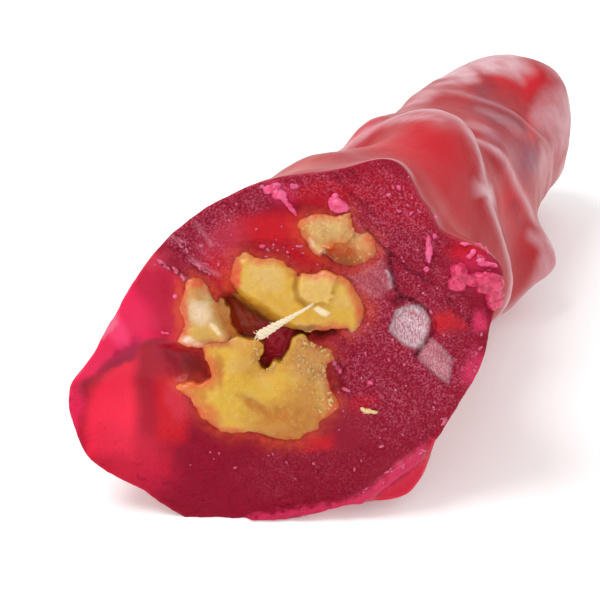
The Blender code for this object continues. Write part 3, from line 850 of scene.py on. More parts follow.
def tinted(right, up, colour, tints, waver):
    """Colour at each place of the cut, with soft tints laid over a base colour."""
    for *shape, strength, name in tints:
        reach = oval_reach(right + waver, up - waver, *shape)
        colour = mix(colour, COLOURS[name], strength * (1.0 - smooth_step(0.45, 1.25, reach)))
    return colour


def deselect():
    """Leave nothing selected, so an operator acts on the new piece alone."""
    bpy.ops.object.select_all(action="DESELECT")


def started(name):
    """The object that an add operator has just made, under its own name."""
    obj = bpy.context.object
    obj.name = name
    obj.data.name = name
    return obj


def only(obj):
    """Make an object the one that is selected and active."""
    deselect()
    obj.select_set(True)
    bpy.context.view_layer.objects.active = obj


def apply_modifiers(obj):
    only(obj)
    for modifier in list(obj.modifiers):
        bpy.ops.object.modifier_apply(modifier=modifier.name)


def fused(obj, voxel, easing=0):
    """Melt an object into one skin with faces of the given size in metres, eased a few times."""
    remesh = obj.modifiers.new("Fuse", "REMESH")
    remesh.mode = "VOXEL"
    remesh.voxel_size = voxel
    if easing:
        smooth = obj.modifiers.new("Ease", "SMOOTH")
        smooth.iterations = easing
    apply_modifiers(obj)


def vertex_rows(obj, key):
    """The co or normal of every vertex of an object, a row for each."""
    rows = np.empty(len(obj.data.vertices) * 3)
    obj.data.vertices.foreach_get(key, rows)
    return rows.reshape(-1, 3)


def points_of(obj):
    """Vertices of an object in millimetres of the maker's frame."""
    return vertex_rows(obj, "co") / MM - SHIFT


def place_points(obj, points):
    """Store points of the maker's frame as the object's vertices, in metres of the row frame."""
    obj.data.vertices.foreach_set("co", ((points + SHIFT) * MM).ravel())
    obj.data.update()


def store_colour(obj, name, colour):
    layer = obj.data.color_attributes.new(name, "FLOAT_COLOR", "POINT")
    rows = np.concatenate([np.clip(colour, 0.0, 1.0), np.ones((len(colour), 1))], axis=1)
    layer.data.foreach_set("color", rows.ravel())


def store_value(obj, name, values):
    layer = obj.data.attributes.new(name, "FLOAT", "POINT")
    layer.data.foreach_set("value", np.clip(values, 0.0, 1.0))


def finished(obj, material, slot, *nodes):
    """Give a piece its material and tell the frame what it rides on and stands for."""
    obj.data.materials.clear()
    obj.data.materials.append(material)
    only(obj)
    bpy.ops.object.shade_smooth()
    deselect()
    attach(obj, "root")
    if nodes:
        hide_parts(*nodes)
    return obj


class Flow:
    """A shader socket that can be used in sums; an expression adds its Math nodes."""

    def __init__(self, tree, socket):
        self.tree = tree
        self.socket = socket

    def combine(self, operation, *values):
        node = self.tree.nodes.new("ShaderNodeMath")
        node.operation = operation
        for slot, value in zip(node.inputs, values):
            if isinstance(value, Flow):
                self.tree.links.new(value.socket, slot)
            else:
                slot.default_value = value
        return Flow(self.tree, node.outputs[0])

    def __add__(self, other):
        return self.combine("ADD", self, other)

    def __radd__(self, other):
        return self.combine("ADD", other, self)

    def __sub__(self, other):
        return self.combine("SUBTRACT", self, other)

    def __rsub__(self, other):
        return self.combine("SUBTRACT", other, self)

    def __mul__(self, other):
        return self.combine("MULTIPLY", self, other)

    def __rmul__(self, other):
        return self.combine("MULTIPLY", other, self)

    def held(self, low=0.0, high=1.0):
        """The value kept between two limits."""
        return self.combine("MINIMUM", self.combine("MAXIMUM", self, low), high)


class Finish:
    """Builds one material: nodes by type, settings and inputs, ending in its Principled shader."""

    def __init__(self, name):
        self.material = bpy.data.materials.new(name)
        self.material.use_nodes = True
        self.tree = self.material.node_tree
        self.shader = self.tree.nodes["Principled BSDF"]
        self.place = self.node("TexCoord").outputs["Object"]

    def node(self, kind, settings=None, inputs=None):
        """A new node of a type, its settings set first and then its inputs."""
        made = self.tree.nodes.new("ShaderNode" + kind)
        for key, value in (settings or {}).items():
            setattr(made, key, value)
        for key, value in (inputs or {}).items():
            self.feed(made.inputs[key], value)
        return made

    def feed(self, slot, value):
        if isinstance(value, Flow):
            value = value.socket
        if isinstance(value, bpy.types.NodeSocket):
            self.tree.links.new(value, slot)
        else:
            slot.default_value = value

    def flow(self, socket):
        return Flow(self.tree, socket)

    def value(self, name):
        return self.flow(self.node("Attribute", {"attribute_name": name}).outputs["Fac"])

    def colour(self, name):
        return self.node("Attribute", {"attribute_name": name}).outputs["Color"]

    def grain(self, size, detail=2.0, roughness=0.5, place=None):
        """Noise with features of the given size in millimetres."""
        made = self.node(
            "TexNoise",
            {"noise_dimensions": "3D"},
            {
                "Vector": place or self.place,
                "Scale": 1.0 / (size * MM),
                "Detail": detail,
                "Roughness": roughness,
            },
        )
        return self.flow(made.outputs["Fac"])

    def step(self, value, low, high):
        """Smooth ramp from zero to one between two values."""
        made = self.node(
            "MapRange",
            {"interpolation_type": "SMOOTHSTEP"},
            {"Value": value, "From Min": low, "From Max": high},
        )
        return self.flow(made.outputs["Result"])

    def blend(self, share, first, second):
        """The first colour turned towards the second."""
        made = self.node("Mix", {"data_type": "RGBA"})
        self.feed(made.inputs["Factor"], share)
        self.feed(made.inputs[6], first)
        self.feed(made.inputs[7], second)
        return made.outputs[2]

    def bump(self, height, distance, strength):
        """Normals of a small relief, its distance in millimetres."""
        inputs = {"Height": height, "Distance": distance * MM, "Strength": strength}
        return self.node("Bump", None, inputs).outputs["Normal"]

    def set(self, **values):
        """Set or link inputs of the shader, with underscores for the spaces in their names."""
        for key, value in values.items():
            self.feed(self.shader.inputs[key.replace("_", " ")], value)


def jelly_finish(settings):
    """Dark sandy cut with painted glints, satin skin with pale bloom and painted sheen on its crests,
    light let through both.
    """
    finish = Finish("jelly coat")
    cut = finish.value("cut")
    bloom = finish.value("bloom")
    wet = finish.value("wet")
    sand = finish.value("sand")
    frost = finish.value("frost")
    grains = finish.step(finish.grain(0.24, 3.0, 0.7), 0.46, 0.6)
    strokes = finish.node(
        "Mapping",
        {"vector_type": "TEXTURE"},
        {"Vector": finish.place, "Rotation": STROKE_TURN, "Scale": STROKE_STRETCH},
    ).outputs["Vector"]
    drifts = finish.step(finish.grain(1.4, 3.0, 0.6, strokes), 0.4, 0.6)
    sandy = (sand * grains * (0.45 + 0.55 * drifts)).held()
    base = finish.blend(sandy * 0.45, finish.colour("tint"), paint("sandy pink"))
    shade = finish.step(finish.grain(0.55, 3.0, 0.6), 0.56, 0.7)
    base = finish.blend((cut * shade * (1.0 - wet) * 0.4).held(), base, paint("knife shade"))
    # Painted glints on the chips, streaked with painted shade between them.
    streaks = finish.node("Mapping", None, {"Vector": finish.place, "Scale": GLINT_STREAK_STRETCH})
    glint_streaks = finish.step(finish.grain(0.17, 3.0, 0.7, streaks.outputs["Vector"]), 0.44, 0.56)
    base = finish.blend((frost * (1.0 - glint_streaks) * 0.3).held(), base, paint("facet shade"))
    base = finish.blend((frost * (0.25 + 0.2 * drifts + 0.55 * glint_streaks)).held(), base, paint("painted glint white"))
    # Painted sparkles of light on the sandy grains.
    at = {"Vector": finish.place, "Scale": SPARKS_PER_METRE}
    sparks = finish.node("TexVoronoi", {"feature": "F1"}, at)
    near = finish.flow(sparks.outputs["Distance"])
    chance = finish.flow(sparks.outputs["Color"])
    lit = (1.0 - finish.step(near, 0.12, 0.2)) * finish.step(chance, 0.86, 0.88) * sand
    base = finish.blend((lit * 0.6).held(), base, SPARK_WHITE)
    # Pale bloom with painted sheen over the skin, mottled, and none on the cut.
    veil_and_sheen = (bloom * (0.4 + 1.1 * finish.grain(3.0, 4.0, 0.6)) * (1.0 - cut)).held()
    base = finish.blend(veil_and_sheen, base, (*settings.bloom_and_sheen_colour, 1.0))
    roughness = 0.34 + 0.1 * cut + 0.14 * sandy - 0.24 * wet - 0.16 * frost
    height = cut * (1.0 - 0.9 * wet) * (finish.grain(0.3, 4.0, 0.65) + 0.5 * finish.grain(1.3, 3.0))
    height = height + (1.0 - cut) * 0.14 * finish.grain(0.9, 3.0)
    finish.set(
        Base_Color=base,
        Roughness=roughness,
        Normal=finish.bump(height, 0.3, 0.9),
        IOR=1.45,
        Specular_IOR_Level=0.14,
        Coat_Weight=(0.08 * (1.0 - cut) + 0.3 * wet).held(),
        Coat_Roughness=0.2,
        Subsurface_Weight=0.45,
        Subsurface_Radius=(1.0, 0.14, 0.18),
        Subsurface_Scale=1.5 * MM,
    )
    return finish.material


def walnut_finish(settings):
    """Moist nut flesh, paler and darker in clouds, with fine broken grain."""
    finish = Finish("walnut flesh")
    rough = finish.value("rough")
    clouds = finish.step(finish.grain(1.5, 4.0, 0.6), 0.35, 0.7)
    specks = finish.step(finish.grain(0.3, 3.0, 0.7), 0.54, 0.66)
    base = finish.blend(clouds * 0.2, finish.colour("tint"), (*settings.flesh_colour, 1.0))
    base = finish.blend(specks * (0.12 + 0.4 * rough), base, paint("nut speck"))
    glints = finish.step(finish.grain(0.36, 3.0), 0.6, 0.68)
    base = finish.blend(glints * (0.1 + 0.4 * rough), base, paint("nut glint"))
    finish.set(
        Base_Color=base,
        Roughness=(0.4 - 0.2 * glints).held(),
        Normal=finish.bump((0.3 + 0.9 * rough) * finish.grain(0.35, 4.0, 0.65) + 0.2 * clouds, 0.2, 0.9),
        IOR=1.47,
        Specular_IOR_Level=0.35,
        Coat_Weight=0.28,
        Coat_Roughness=0.16,
        Subsurface_Weight=0.7,
        Subsurface_Radius=(1.0, 0.5, 0.16),
        Subsurface_Scale=1.7 * MM,
    )
    return finish.material


def cotton_finish(settings):
    """Matt twisted cotton, a little stained by the juice."""
    finish = Finish("cotton string")
    fibres = finish.grain(0.12, 3.0, 0.7)
    stain = finish.step(finish.grain(1.5, 2.0), 0.45, 0.7)
    base = finish.blend(fibres * 0.35, (*settings.cotton_colour, 1.0), paint("dark fibre"))
    base = finish.blend(stain * 0.12, base, paint("juice stain"))
    finish.set(
        Base_Color=base,
        Roughness=0.85,
        Normal=finish.bump(fibres, 0.06, 0.8),
        Sheen_Weight=0.3,
        Subsurface_Weight=0.2,
        Subsurface_Radius=(1.0, 0.8, 0.5),
        Subsurface_Scale=0.4 * MM,
    )
    return finish.material


def shaving_finish(name, colour, dark):
    """Thin scraped jelly that lets light through, so it is pinker than the block."""
    finish = Finish(name)
    clouds = finish.step(finish.grain(0.7, 3.0, 0.6), 0.35, 0.7)
    base = finish.blend(clouds, paint(colour), paint(dark))
    finish.set(
        Base_Color=base,
        Roughness=0.38,
        Normal=finish.bump(finish.grain(0.25, 3.0, 0.6), 0.1, 0.8),
        Coat_Weight=0.3,
        Coat_Roughness=0.2,
        Subsurface_Weight=0.6,
        Subsurface_Radius=(1.0, 0.25, 0.35),
        Subsurface_Scale=1.0 * MM,
    )
    return finish.material


JellyGrid = namedtuple("JellyGrid", "rim face right up gap skin along around crest")


def jelly_surface(around_count, skin_rings, cut_rings):
    """Grid of points and their masks, from the middle of the cut over the rim to the tip."""
    around = np.arange(around_count) * math.tau / around_count
    rim = rim_along(around)
    rim_points = skin_point(rim, around)
    outward = rim_points - CUT_CENTRE
    outward = outward / np.linalg.norm(outward, axis=1)[:, None]
    shares = (np.arange(1, cut_rings + 1) / cut_rings)[:, None, None]
    flat = CUT_CENTRE + (rim_points - CUT_CENTRE)[None] * shares
    right, up, _ = cut_places(flat)
    height, gap = cut_relief(right, up)
    nibble = NIBBLE * ripple(flat, 2.0, 3, 5.0) * smooth_step(0.93, 1.0, shares[..., 0])
    rounding = RIM_ROUNDING * smooth_step(0.985, 1.0, shares[..., 0])
    face = flat + (height + nibble - rounding)[..., None] * CUT_NORMAL
    face = face + nibble[..., None] * outward[None]
    lift = face[-1] - rim_points
    steps = (np.arange(1, skin_rings + 1) / (skin_rings + 1))[:, None]
    along = rim[None] + (TIP_ALONG - rim[None]) * (1.0 - (1.0 - steps) ** 1.35)
    broad = around[None] * np.ones_like(along)
    skin = skin_point(along, broad)
    from_axis = skin - np.stack([np.zeros_like(along), along, axis_height(along)], axis=-1)
    from_axis = from_axis / np.maximum(np.linalg.norm(from_axis, axis=-1), 0.001)[..., None]
    tip_fade = 1.0 - smooth_step(TIP_ALONG - TIP_BLEND, TIP_ALONG, along)
    skin = skin + (ripples(skin, SKIN_LUMPS) * tip_fade)[..., None] * from_axis
    fade = 1.0 - smooth_step(0.0, RIM_BLEND, along - rim[None])
    skin = skin + lift[None] * fade[..., None]
    skin[..., 2] = np.maximum(skin[..., 2], 0.0)
    face[..., 2] = np.maximum(face[..., 2], 0.0)
    crest = np.zeros_like(along)
    here = skin_radius(along, broad)
    for reach, weight in CREST_REACHES:
        beside = (skin_radius(along - reach, broad) + skin_radius(along + reach, broad)) / 2.0
        turn = reach / MEAN_RADIUS
        about = (skin_radius(along, broad - turn) + skin_radius(along, broad + turn)) / 2.0
        crest = crest + weight * (2.0 * here - beside - about) / reach * CREST_GAIN
    return JellyGrid(rim, face, right, up, gap, skin, along, broad, crest)


class JellySettings(bpy.types.PropertyGroup):
    """Fineness and colours of the jelly coat"""

    around: IntProperty(name="Around", description="Points around the coat", default=400, min=48)
    skin_rings: IntProperty(name="Skin rings", description="Rings along the skin", default=112, min=24)
    cut_rings: IntProperty(name="Cut rings", description="Rings over the cut", default=128, min=12)
    cut_colour: FloatVectorProperty(
        name="Cut", description="Colour of the cut jelly", default=CUT_RED, subtype="COLOR", size=3
    )
    skin_colour: FloatVectorProperty(
        name="Skin", description="Colour of the skin", default=SKIN_RED, subtype="COLOR", size=3
    )
    # Colour of the pale bloom with its painted sheen.
    bloom_and_sheen_colour: FloatVectorProperty(
        name="Bloom and sheen", description="Pale bloom and painted sheen on crests", default=BLOOM_AND_SHEEN, subtype="COLOR", size=3
    )


class KernelSettings(bpy.types.PropertyGroup):
    """Fineness and colour of the walnut kernels"""

    voxel: FloatProperty(
        name="Grain",
        description="Finest step of the kernels",
        default=0.18 * MM,
        unit="LENGTH",
        precision=5,
    )
    flesh_colour: FloatVectorProperty(
        name="Flesh", description="Pale nut flesh", default=srgb(230, 192, 100), subtype="COLOR", size=3
    )


class StringSettings(bpy.types.PropertyGroup):
    """Thickness, fray and colour of the string"""

    radius: FloatProperty(
        name="Radius",
        description="Radius of the string",
        default=STRING_RADIUS * MM,
        unit="LENGTH",
        precision=5,
    )
    fibres: IntProperty(name="Fibres", description="Loose fibres at the end", default=44, min=0)
    cotton_colour: FloatVectorProperty(
        name="Cotton",
        description="Colour of the string",
        default=srgb(250, 236, 206),
        subtype="COLOR",
        size=3,
    )


class StageSettings(bpy.types.PropertyGroup):
    """Strength of the lights"""

    daylight: FloatProperty(name="Daylight", description="Strength of the white surround", default=0.74)
    window: FloatProperty(
        name="Window", description="Power of the window light", default=1.15, unit="POWER"
    )


class CHURCHKHELA_OT_jelly(bpy.types.Operator):
    """Make the jelly coat with its cut face, folds and bloom"""

    bl_idname = "churchkhela.jelly"
    bl_label = "Jelly coat"

    def execute(self, context):
        settings = context.scene.churchkhela_jelly
        around_count = settings.around
        rings = settings.cut_rings + settings.skin_rings
        deselect()
        bpy.ops.mesh.primitive_uv_sphere_add(segments=around_count, ring_count=rings + 1, radius=1.0)
        obj = started("jelly_coat")
        ball = vertex_rows(obj, "co")
        polar = np.arccos(np.clip(ball[:, 2], -1.0, 1.0)) / math.pi * (rings + 1)
        ring = np.round(polar).astype(int)
        step = np.round(np.arctan2(ball[:, 1], ball[:, 0]) / math.tau * around_count).astype(int)
        grid = jelly_surface(around_count, settings.skin_rings, settings.cut_rings)
        # The grid turns against the ball, so its columns run the other way round.
        row, column = np.clip(ring - 1, 0, rings - 1), (-step) % around_count
        points = np.concatenate([grid.face, grid.skin])[row, column]
        points[ring == 0] = at_cut(0.0, 0.0, cut_ground(0.0, 0.0))
        points[ring == rings + 1] = (0.0, TIP_ALONG, float(axis_height(np.array(TIP_ALONG))))
        place_points(obj, points)
        cut_colour = self.paint_cut(settings, grid)
        skin_colour, veil_and_sheen = self.paint_skin(settings, grid)
        store_colour(obj, "tint", np.concatenate([cut_colour, skin_colour])[row, column])
        right, up = grid.right, grid.up
        wet = np.maximum(patches(right, up, MOIST), smooth_step(0.5, 2.0, grid.gap))
        frost = 0.9 * bell(path_distance(right, up, PLATE_GLINT), 0.2)
        for name, (strength, soft) in PAINTED_GLINT_CHIPS.items():
            frost = np.maximum(frost, strength * firm(right, up, CHIPS[name][0], soft))
        bare, plain = np.zeros_like(right), np.zeros_like(grid.along)
        for name, on_cut, on_skin in (
            ("cut", bare + 1.0, plain),
            ("bloom", bare, veil_and_sheen),
            ("wet", wet, plain),
            ("sand", patches(right, up, SAND) * (1.0 - wet), plain),
            ("frost", frost, plain),
        ):
            store_value(obj, name, np.concatenate([on_cut, on_skin])[row, column])
        finished(obj, jelly_finish(settings), "jelly", "jelly")
        return {"FINISHED"}

    def paint_cut(self, settings, grid):
        """Colour of the cut face at each place of the grid."""
        right, up = grid.right, grid.up
        colour = np.ones((*right.shape, 3)) * np.array(settings.cut_colour)
        fine = ripple(grid.face, 0.8, 3, 10.0)
        waver = 0.5 * ripple(grid.face, 2.6, 3, 9.0) + 0.2 * fine
        for outline, soft, strength, name in ZONES:
            cover = firm(right + 0.3 * waver, up - 0.3 * waver, outline, soft)
            colour = mix(colour, COLOURS[name], strength * cover)
        colour = tinted(right, up, colour, CUT_TINTS, waver)
        for name, tone, strength in LIP_TINTS:
            cover = firm(right + 0.7 * waver, up + 0.6 * fine, CHIPS[name][0], 0.3)
            colour = mix(colour, COLOURS[tone], strength * cover)
        # Painted shade along the cracks, and a painted highlight on the narrow ridges.
        for path, depth, half_width in CRACKS:
            line = bell(path_distance(right + 0.2 * fine, up - 0.2 * fine, path), 0.55 * half_width)
            if depth > 0.0:
                colour = mix(colour, COLOURS["maroon"], min(0.75, 1.2 * depth) * line * (0.7 + 0.5 * fine))
            elif half_width < 0.6:
                colour = mix(colour, COLOURS["frost"], 0.4 * line)
        # Painted shade along the sunken edge of each facet, dusky rose inside it.
        for name in ("bright facet", "dusky facet"):
            reach = inside_reach(right + 0.1 * waver, up, CHIPS[name][0])
            colour = mix(colour, COLOURS["maroon"], 0.4 * bell(reach + 0.12, 0.18) * (0.8 + 0.8 * fine))
            colour = mix(colour, COLOURS["rose"], 0.5 * smooth_step(0.0, 0.4, reach))
        fringe = bell(np.minimum(kernel_reach(right, up), 0.0), 0.95) * (0.65 + 0.5 * fine)
        colour = mix(colour, COLOURS["coral"], 0.75 * np.clip(fringe, 0.0, 1.0))
        # Gap colours are laid on as the gaps sink, with painted shade under the middle kernel.
        dark = tinted(right, up, colour, GAP_TINTS, waver)
        return mix(colour, dark, smooth_step(0.15, 1.4, grid.gap))

    def paint_skin(self, settings, grid):
        """Colour of the skin at each place of the grid, and how much pale bloom and painted sheen cover
        it.
        """
        skin, along, around = grid.skin, grid.along, grid.around
        colour = np.ones(skin.shape) * np.array(settings.skin_colour)
        drift = ripple(skin, 6.0, 3, 6.0)
        moved, spun = along + 3.5 * drift, around + 0.22 * ripple(skin, 7.0, 3, 16.0)
        for cover, (strength, name) in skin_patches(moved, spun, SKIN_TINTS):
            colour = mix(colour, COLOURS[name], strength * cover)
        # Crests, fold ridges and milky patches are pale with bloom and painted sheen.
        folds = fold_ridges(along, around, 1.3, 0.8) / FOLD_HEIGHTS[0]
        veil_and_sheen = 0.4 * smooth_step(0.7, 2.0, grid.crest + 0.2 * drift) + 0.65 * np.clip(folds, 0.0, 1.0)
        for cover, (strength,) in skin_patches(moved, spun, SKIN_MILK_AND_SHEEN):
            veil_and_sheen = np.maximum(veil_and_sheen, strength * cover)
        behind = smooth_step(30.0, 60.0, np.abs(turn_between(around, 45.0)) - 45.0)
        clouds = smooth_step(-0.1, 0.7, ripple(skin * np.array([1.0, 0.6, 1.0]), 8.0, 4, 26.0))
        veil_and_sheen = np.maximum(veil_and_sheen, 0.5 * behind * clouds)
        near = 1.0 - smooth_step(0.1, 1.1, along - grid.rim[None])
        near = near * smooth_step(-0.3, 0.3, np.sin(around))
        return colour, np.clip(np.maximum(veil_and_sheen, 0.4 * near), 0.0, MOST_BLOOM_AND_SHEEN)


def between(first, start, end, last, share):
    """Place from start to end on a smooth curve that also runs through the first and last points."""
    bend = 2.0 * first - 5.0 * start + 4.0 * end - last
    turn = 3.0 * start - first - 3.0 * end + last
    return start + 0.5 * share * ((end - first) + share * (bend + share * turn))


def closed_curve(outline, steps):
    """Smooth closed curve through the corners of an outline."""
    start = np.array(outline)
    four = np.roll(start, 1, 0), start, np.roll(start, -1, 0), np.roll(start, -2, 0)
    return np.stack([between(*four, step / steps) for step in range(steps)], axis=1).reshape(-1, 2)


def torn_outline(name):
    """A kernel's outline, eased and then torn a little as broken nut is."""
    curve = closed_curve(OUTLINES[name], 6)
    ahead = np.roll(curve, -1, 0) - np.roll(curve, 1, 0)
    ahead = ahead / np.linalg.norm(ahead, axis=1)[:, None]
    outward = np.stack([-ahead[:, 1], ahead[:, 0]], axis=1)
    places = np.concatenate([curve, np.zeros((len(curve), 1))], axis=1)
    return curve + ripples(places, TORN_EDGE)[:, None] * outward


def near_spot(right, up, at_right, at_up, reach):
    """One at a place of the cut, falling away past the reach."""
    return bell(np.hypot(right - at_right, up - at_up), reach)


def nut_roughness(name, right, up):
    """Share of broken grain on a kernel: crumbled in places, smooth and moist elsewhere."""
    if name == "kernel_bottom":
        return 0.15 + 0.85 * patches(right, up, CRUMBLED)
    return np.full(right.shape, BROKEN_GRAIN[name])


def middle_flank(right, up):
    """How far down the lower left flank of the middle kernel a place lies."""
    start, across, rise = FLANK_LINE
    return np.maximum(0.0, start - across * right - rise * up)


def kernel_face(name, right, up):
    """Height of a kernel's broken face over the knife's plane."""
    seed = 40.0 + 3.0 * list(OUTLINES).index(name)
    places = np.stack([right, up, np.zeros_like(right)], axis=-1)
    chips = ripple(places, 1.8, 3, seed)
    reach = inside_reach(right, up, OUTLINES[name])
    edge, rounding = 1.0 - smooth_step(0.0, 0.5, reach), 1.0 - smooth_step(0.0, 2.2, reach)
    broken = 0.12 * ripple(places, 0.5, 3, seed + 1.0) + 0.14 * np.floor(chips * 3.0) / 3.0
    top = 0.1 * chips + nut_roughness(name, right, up) * broken
    top = top + 0.48 + 0.3 * ripple(places, 4.0, 2, seed + 2.0) - 0.12 * edge**2 - 0.36 * rounding**2
    if name == "kernel_top":
        plate = firm(right, up, TOP_PLATE, 0.12)
        bowl = bell(right - 6.0, 2.6) * bell(up - 9.8, 1.6) * (1.0 - plate)
        return top - 0.05 + 0.45 * plate - 0.95 * bowl + 0.35 * near_spot(right, up, 8.6, 11.0, 1.5)
    if name == "kernel_middle":
        flap = firm(right, up, FLAP, 0.1) + 0.8 * firm(right, up, SLIVER, 0.08)
        groove = bell(path_distance(right, up, FLAP_GROOVE), 0.3)
        flank = middle_flank(right, up)
        fall = 1.5 * flank**2 / (flank + 0.35) + 0.1 * np.maximum(0.0, right - 6.0) ** 2
        return top + 0.2 + 0.45 * flap - 0.3 * groove - fall
    if name == "kernel_left":
        ridge = bell(path_distance(right, up, LEFT_RIDGE), 0.9)
        tip = near_spot(right, up, -10.9, 0.3, 0.7)
        return top + 0.5 * ridge - 0.8 * firm(right, up, LEFT_FLANK, 0.7) + 0.35 * tip
    crease = bell(path_distance(right, up, BOTTOM_CREASE), 0.4)
    mounds = 0.4 * near_spot(right, up, -6.5, -5.0, 2.8) + 0.25 * near_spot(right, up, 2.4, -2.5, 2.4)
    patch = near_spot(right, up, 3.6, -5.1, 0.7)
    return top + 0.05 - 0.25 * crease + mounds + 0.2 * patch - 0.5 * smooth_step(9.0, 11.5, -up)


class CHURCHKHELA_OT_kernels(bpy.types.Operator):
    """Make the four walnut kernels that show at the cut"""

    bl_idname = "churchkhela.kernels"
    bl_label = "Walnut kernels"

    def execute(self, context):
        settings = context.scene.churchkhela_kernels
        material = walnut_finish(settings)
        for name in OUTLINES:
            obj = self.slab(name)
            fused(obj, settings.voxel, easing=2)
            self.shape(obj, name)
            self.paint(obj, name)
            finished(obj, material, "walnut", name)
        return {"FINISHED"}

    def slab(self, name):
        """The outline filled, then drawn back into the jelly in narrowing steps."""
        curve = torn_outline(name)
        deselect()
        bpy.ops.mesh.primitive_circle_add(vertices=len(curve), radius=1.0, fill_type="NGON")
        obj = started(name + "_flesh")
        place_points(obj, at_cut(curve[:, :1], curve[:, 1:], KERNEL_FRONT))
        middle = at_cut(*curve.mean(axis=0), KERNEL_FRONT)
        bpy.ops.object.mode_set(mode="EDIT")
        bpy.ops.mesh.select_all(action="SELECT")
        for back, along, narrowing in KERNEL_STEPS:
            step = (along * ALONG - back * CUT_NORMAL) * KERNEL_DEPTHS[name]
            middle = middle + step
            bpy.ops.mesh.extrude_region_move(TRANSFORM_OT_translate={"value": tuple(step * MM)})
            bpy.ops.transform.resize(
                value=(narrowing, narrowing, narrowing), center_override=tuple((middle + SHIFT) * MM)
            )
        bpy.ops.mesh.select_all(action="SELECT")
        bpy.ops.mesh.normals_make_consistent(inside=False)
        bpy.ops.object.mode_set(mode="OBJECT")
        return obj

    def shape(self, obj, name):
        """Roughen the sides, then set the front to the heights of the broken face."""
        points = points_of(obj)
        points = points + 0.1 * ripple(points, 0.8, 3, 30.0)[:, None] * vertex_rows(obj, "normal")
        right, up, out = cut_places(points)
        share = np.maximum(0.0, (out + KERNEL_HELD) / (KERNEL_FRONT + KERNEL_HELD))
        lift = share * (kernel_face(name, right, up) - KERNEL_FRONT)
        place_points(obj, points + lift[:, None] * CUT_NORMAL)

    def paint(self, obj, name):
        """Store the colour and the roughness of each vertex."""
        points = points_of(obj)
        right, up, out = cut_places(points)
        base, tints = KERNEL_TINTS[name]
        waver = 0.35 * ripple(points, 1.5, 3, 60.0)
        fine = ripple(points, 0.9, 3, 61.0)
        colour = np.ones((len(points), 3)) * np.array(COLOURS[base])
        colour = mix(colour, COLOURS["cream"], 0.35 * smooth_step(0.1, 0.7, ripple(points, 2.6, 3, 62.0)))
        colour = mix(colour, COLOURS["olive"], 0.3 * smooth_step(0.1, 0.7, ripple(points, 3.0, 3, 63.0)))
        colour = tinted(right, up, colour, tints, waver)
        if name == "kernel_middle":
            # Painted shadow in the groove along the flap's edge.
            groove = bell(path_distance(right, up, FLAP_GROOVE), 0.28)
            colour = mix(colour, COLOURS["olive"], 0.7 * groove)
            colour = mix(colour, COLOURS["cream"], 0.6 * firm(right, up, FLAP, 0.12))
            colour = mix(colour, COLOURS["white"], 0.7 * firm(right, up, SLIVER, 0.12))
            # Painted shade darkening the flank as it falls away into the gap.
            flank = middle_flank(right, up) + 0.3 * fine
            colour = mix(colour, COLOURS["olive"], 0.9 * smooth_step(0.2, 1.1, flank))
            colour = mix(colour, COLOURS["umber"], 0.95 * smooth_step(0.8, 1.9, flank))
        if name == "kernel_left":
            colour = mix(colour, COLOURS["amber"], 0.6 * firm(right, up, LEFT_FLANK, 0.7))
        opening = firm(right, up, GAPS[0][0], 1.1)
        edge = 1.0 - smooth_step(0.1, 1.1, inside_reach(right, up, OUTLINES[name]) + 0.4 * fine)
        colour = mix(colour, COLOURS["coral"], 0.75 * edge * (1.0 - opening))
        # Kernel sides below the face turn coral, then ruby under the jelly; in the open gap amber, then
        # painted shade deeper down.
        side = kernel_face(name, right, up) - out
        near = mix(np.array(COLOURS["coral"]), COLOURS["amber"], opening)
        far = mix(np.array(COLOURS["ruby"]), COLOURS["shaded nut"], opening)
        colour = mix(colour, near, 0.8 * smooth_step(0.1, 0.9, side))
        store_colour(obj, "tint", mix(colour, far, 0.95 * smooth_step(0.5, 3.0, side)))
        store_value(obj, "rough", nut_roughness(name, right, up))


def eased_path(points, steps):
    """Points of a smooth curve through the given ones."""
    padded = [points[0], *points, points[-1]]
    path = [
        between(*four, step / steps)
        for four in zip(padded, padded[1:], padded[2:], padded[3:])
        for step in range(steps)
    ]
    return np.array([*path, points[-1]])


def string_line():
    """Points that the string runs through, from deep in the jelly to its loose end."""
    inside = [np.array([x, y, float(axis_height(np.array(y))) + lift]) for x, y, lift in STRING_INSIDE]
    return inside + [at_cut(*place) for place in STRING_AT_CUT]


def strand_mesh(name, paths, radii):
    """Round strands along paths, one curve for all, turned into a mesh."""
    curve = bpy.data.curves.new(name, "CURVE")
    curve.dimensions = "3D"
    curve.bevel_depth = 1.0
    curve.bevel_resolution = 1
    curve.use_fill_caps = True
    for path, radius in zip(paths, radii):
        spline = curve.splines.new("POLY")
        spline.points.add(len(path) - 1)
        for point, place, thickness in zip(spline.points, path, np.broadcast_to(radius, len(path))):
            point.co = (*((place + SHIFT) * MM), 1.0)
            point.radius = thickness * MM
    obj = bpy.data.objects.new(name, curve)
    bpy.context.scene.collection.objects.link(obj)
    only(obj)
    bpy.ops.object.convert(target="MESH")
    return started(name)


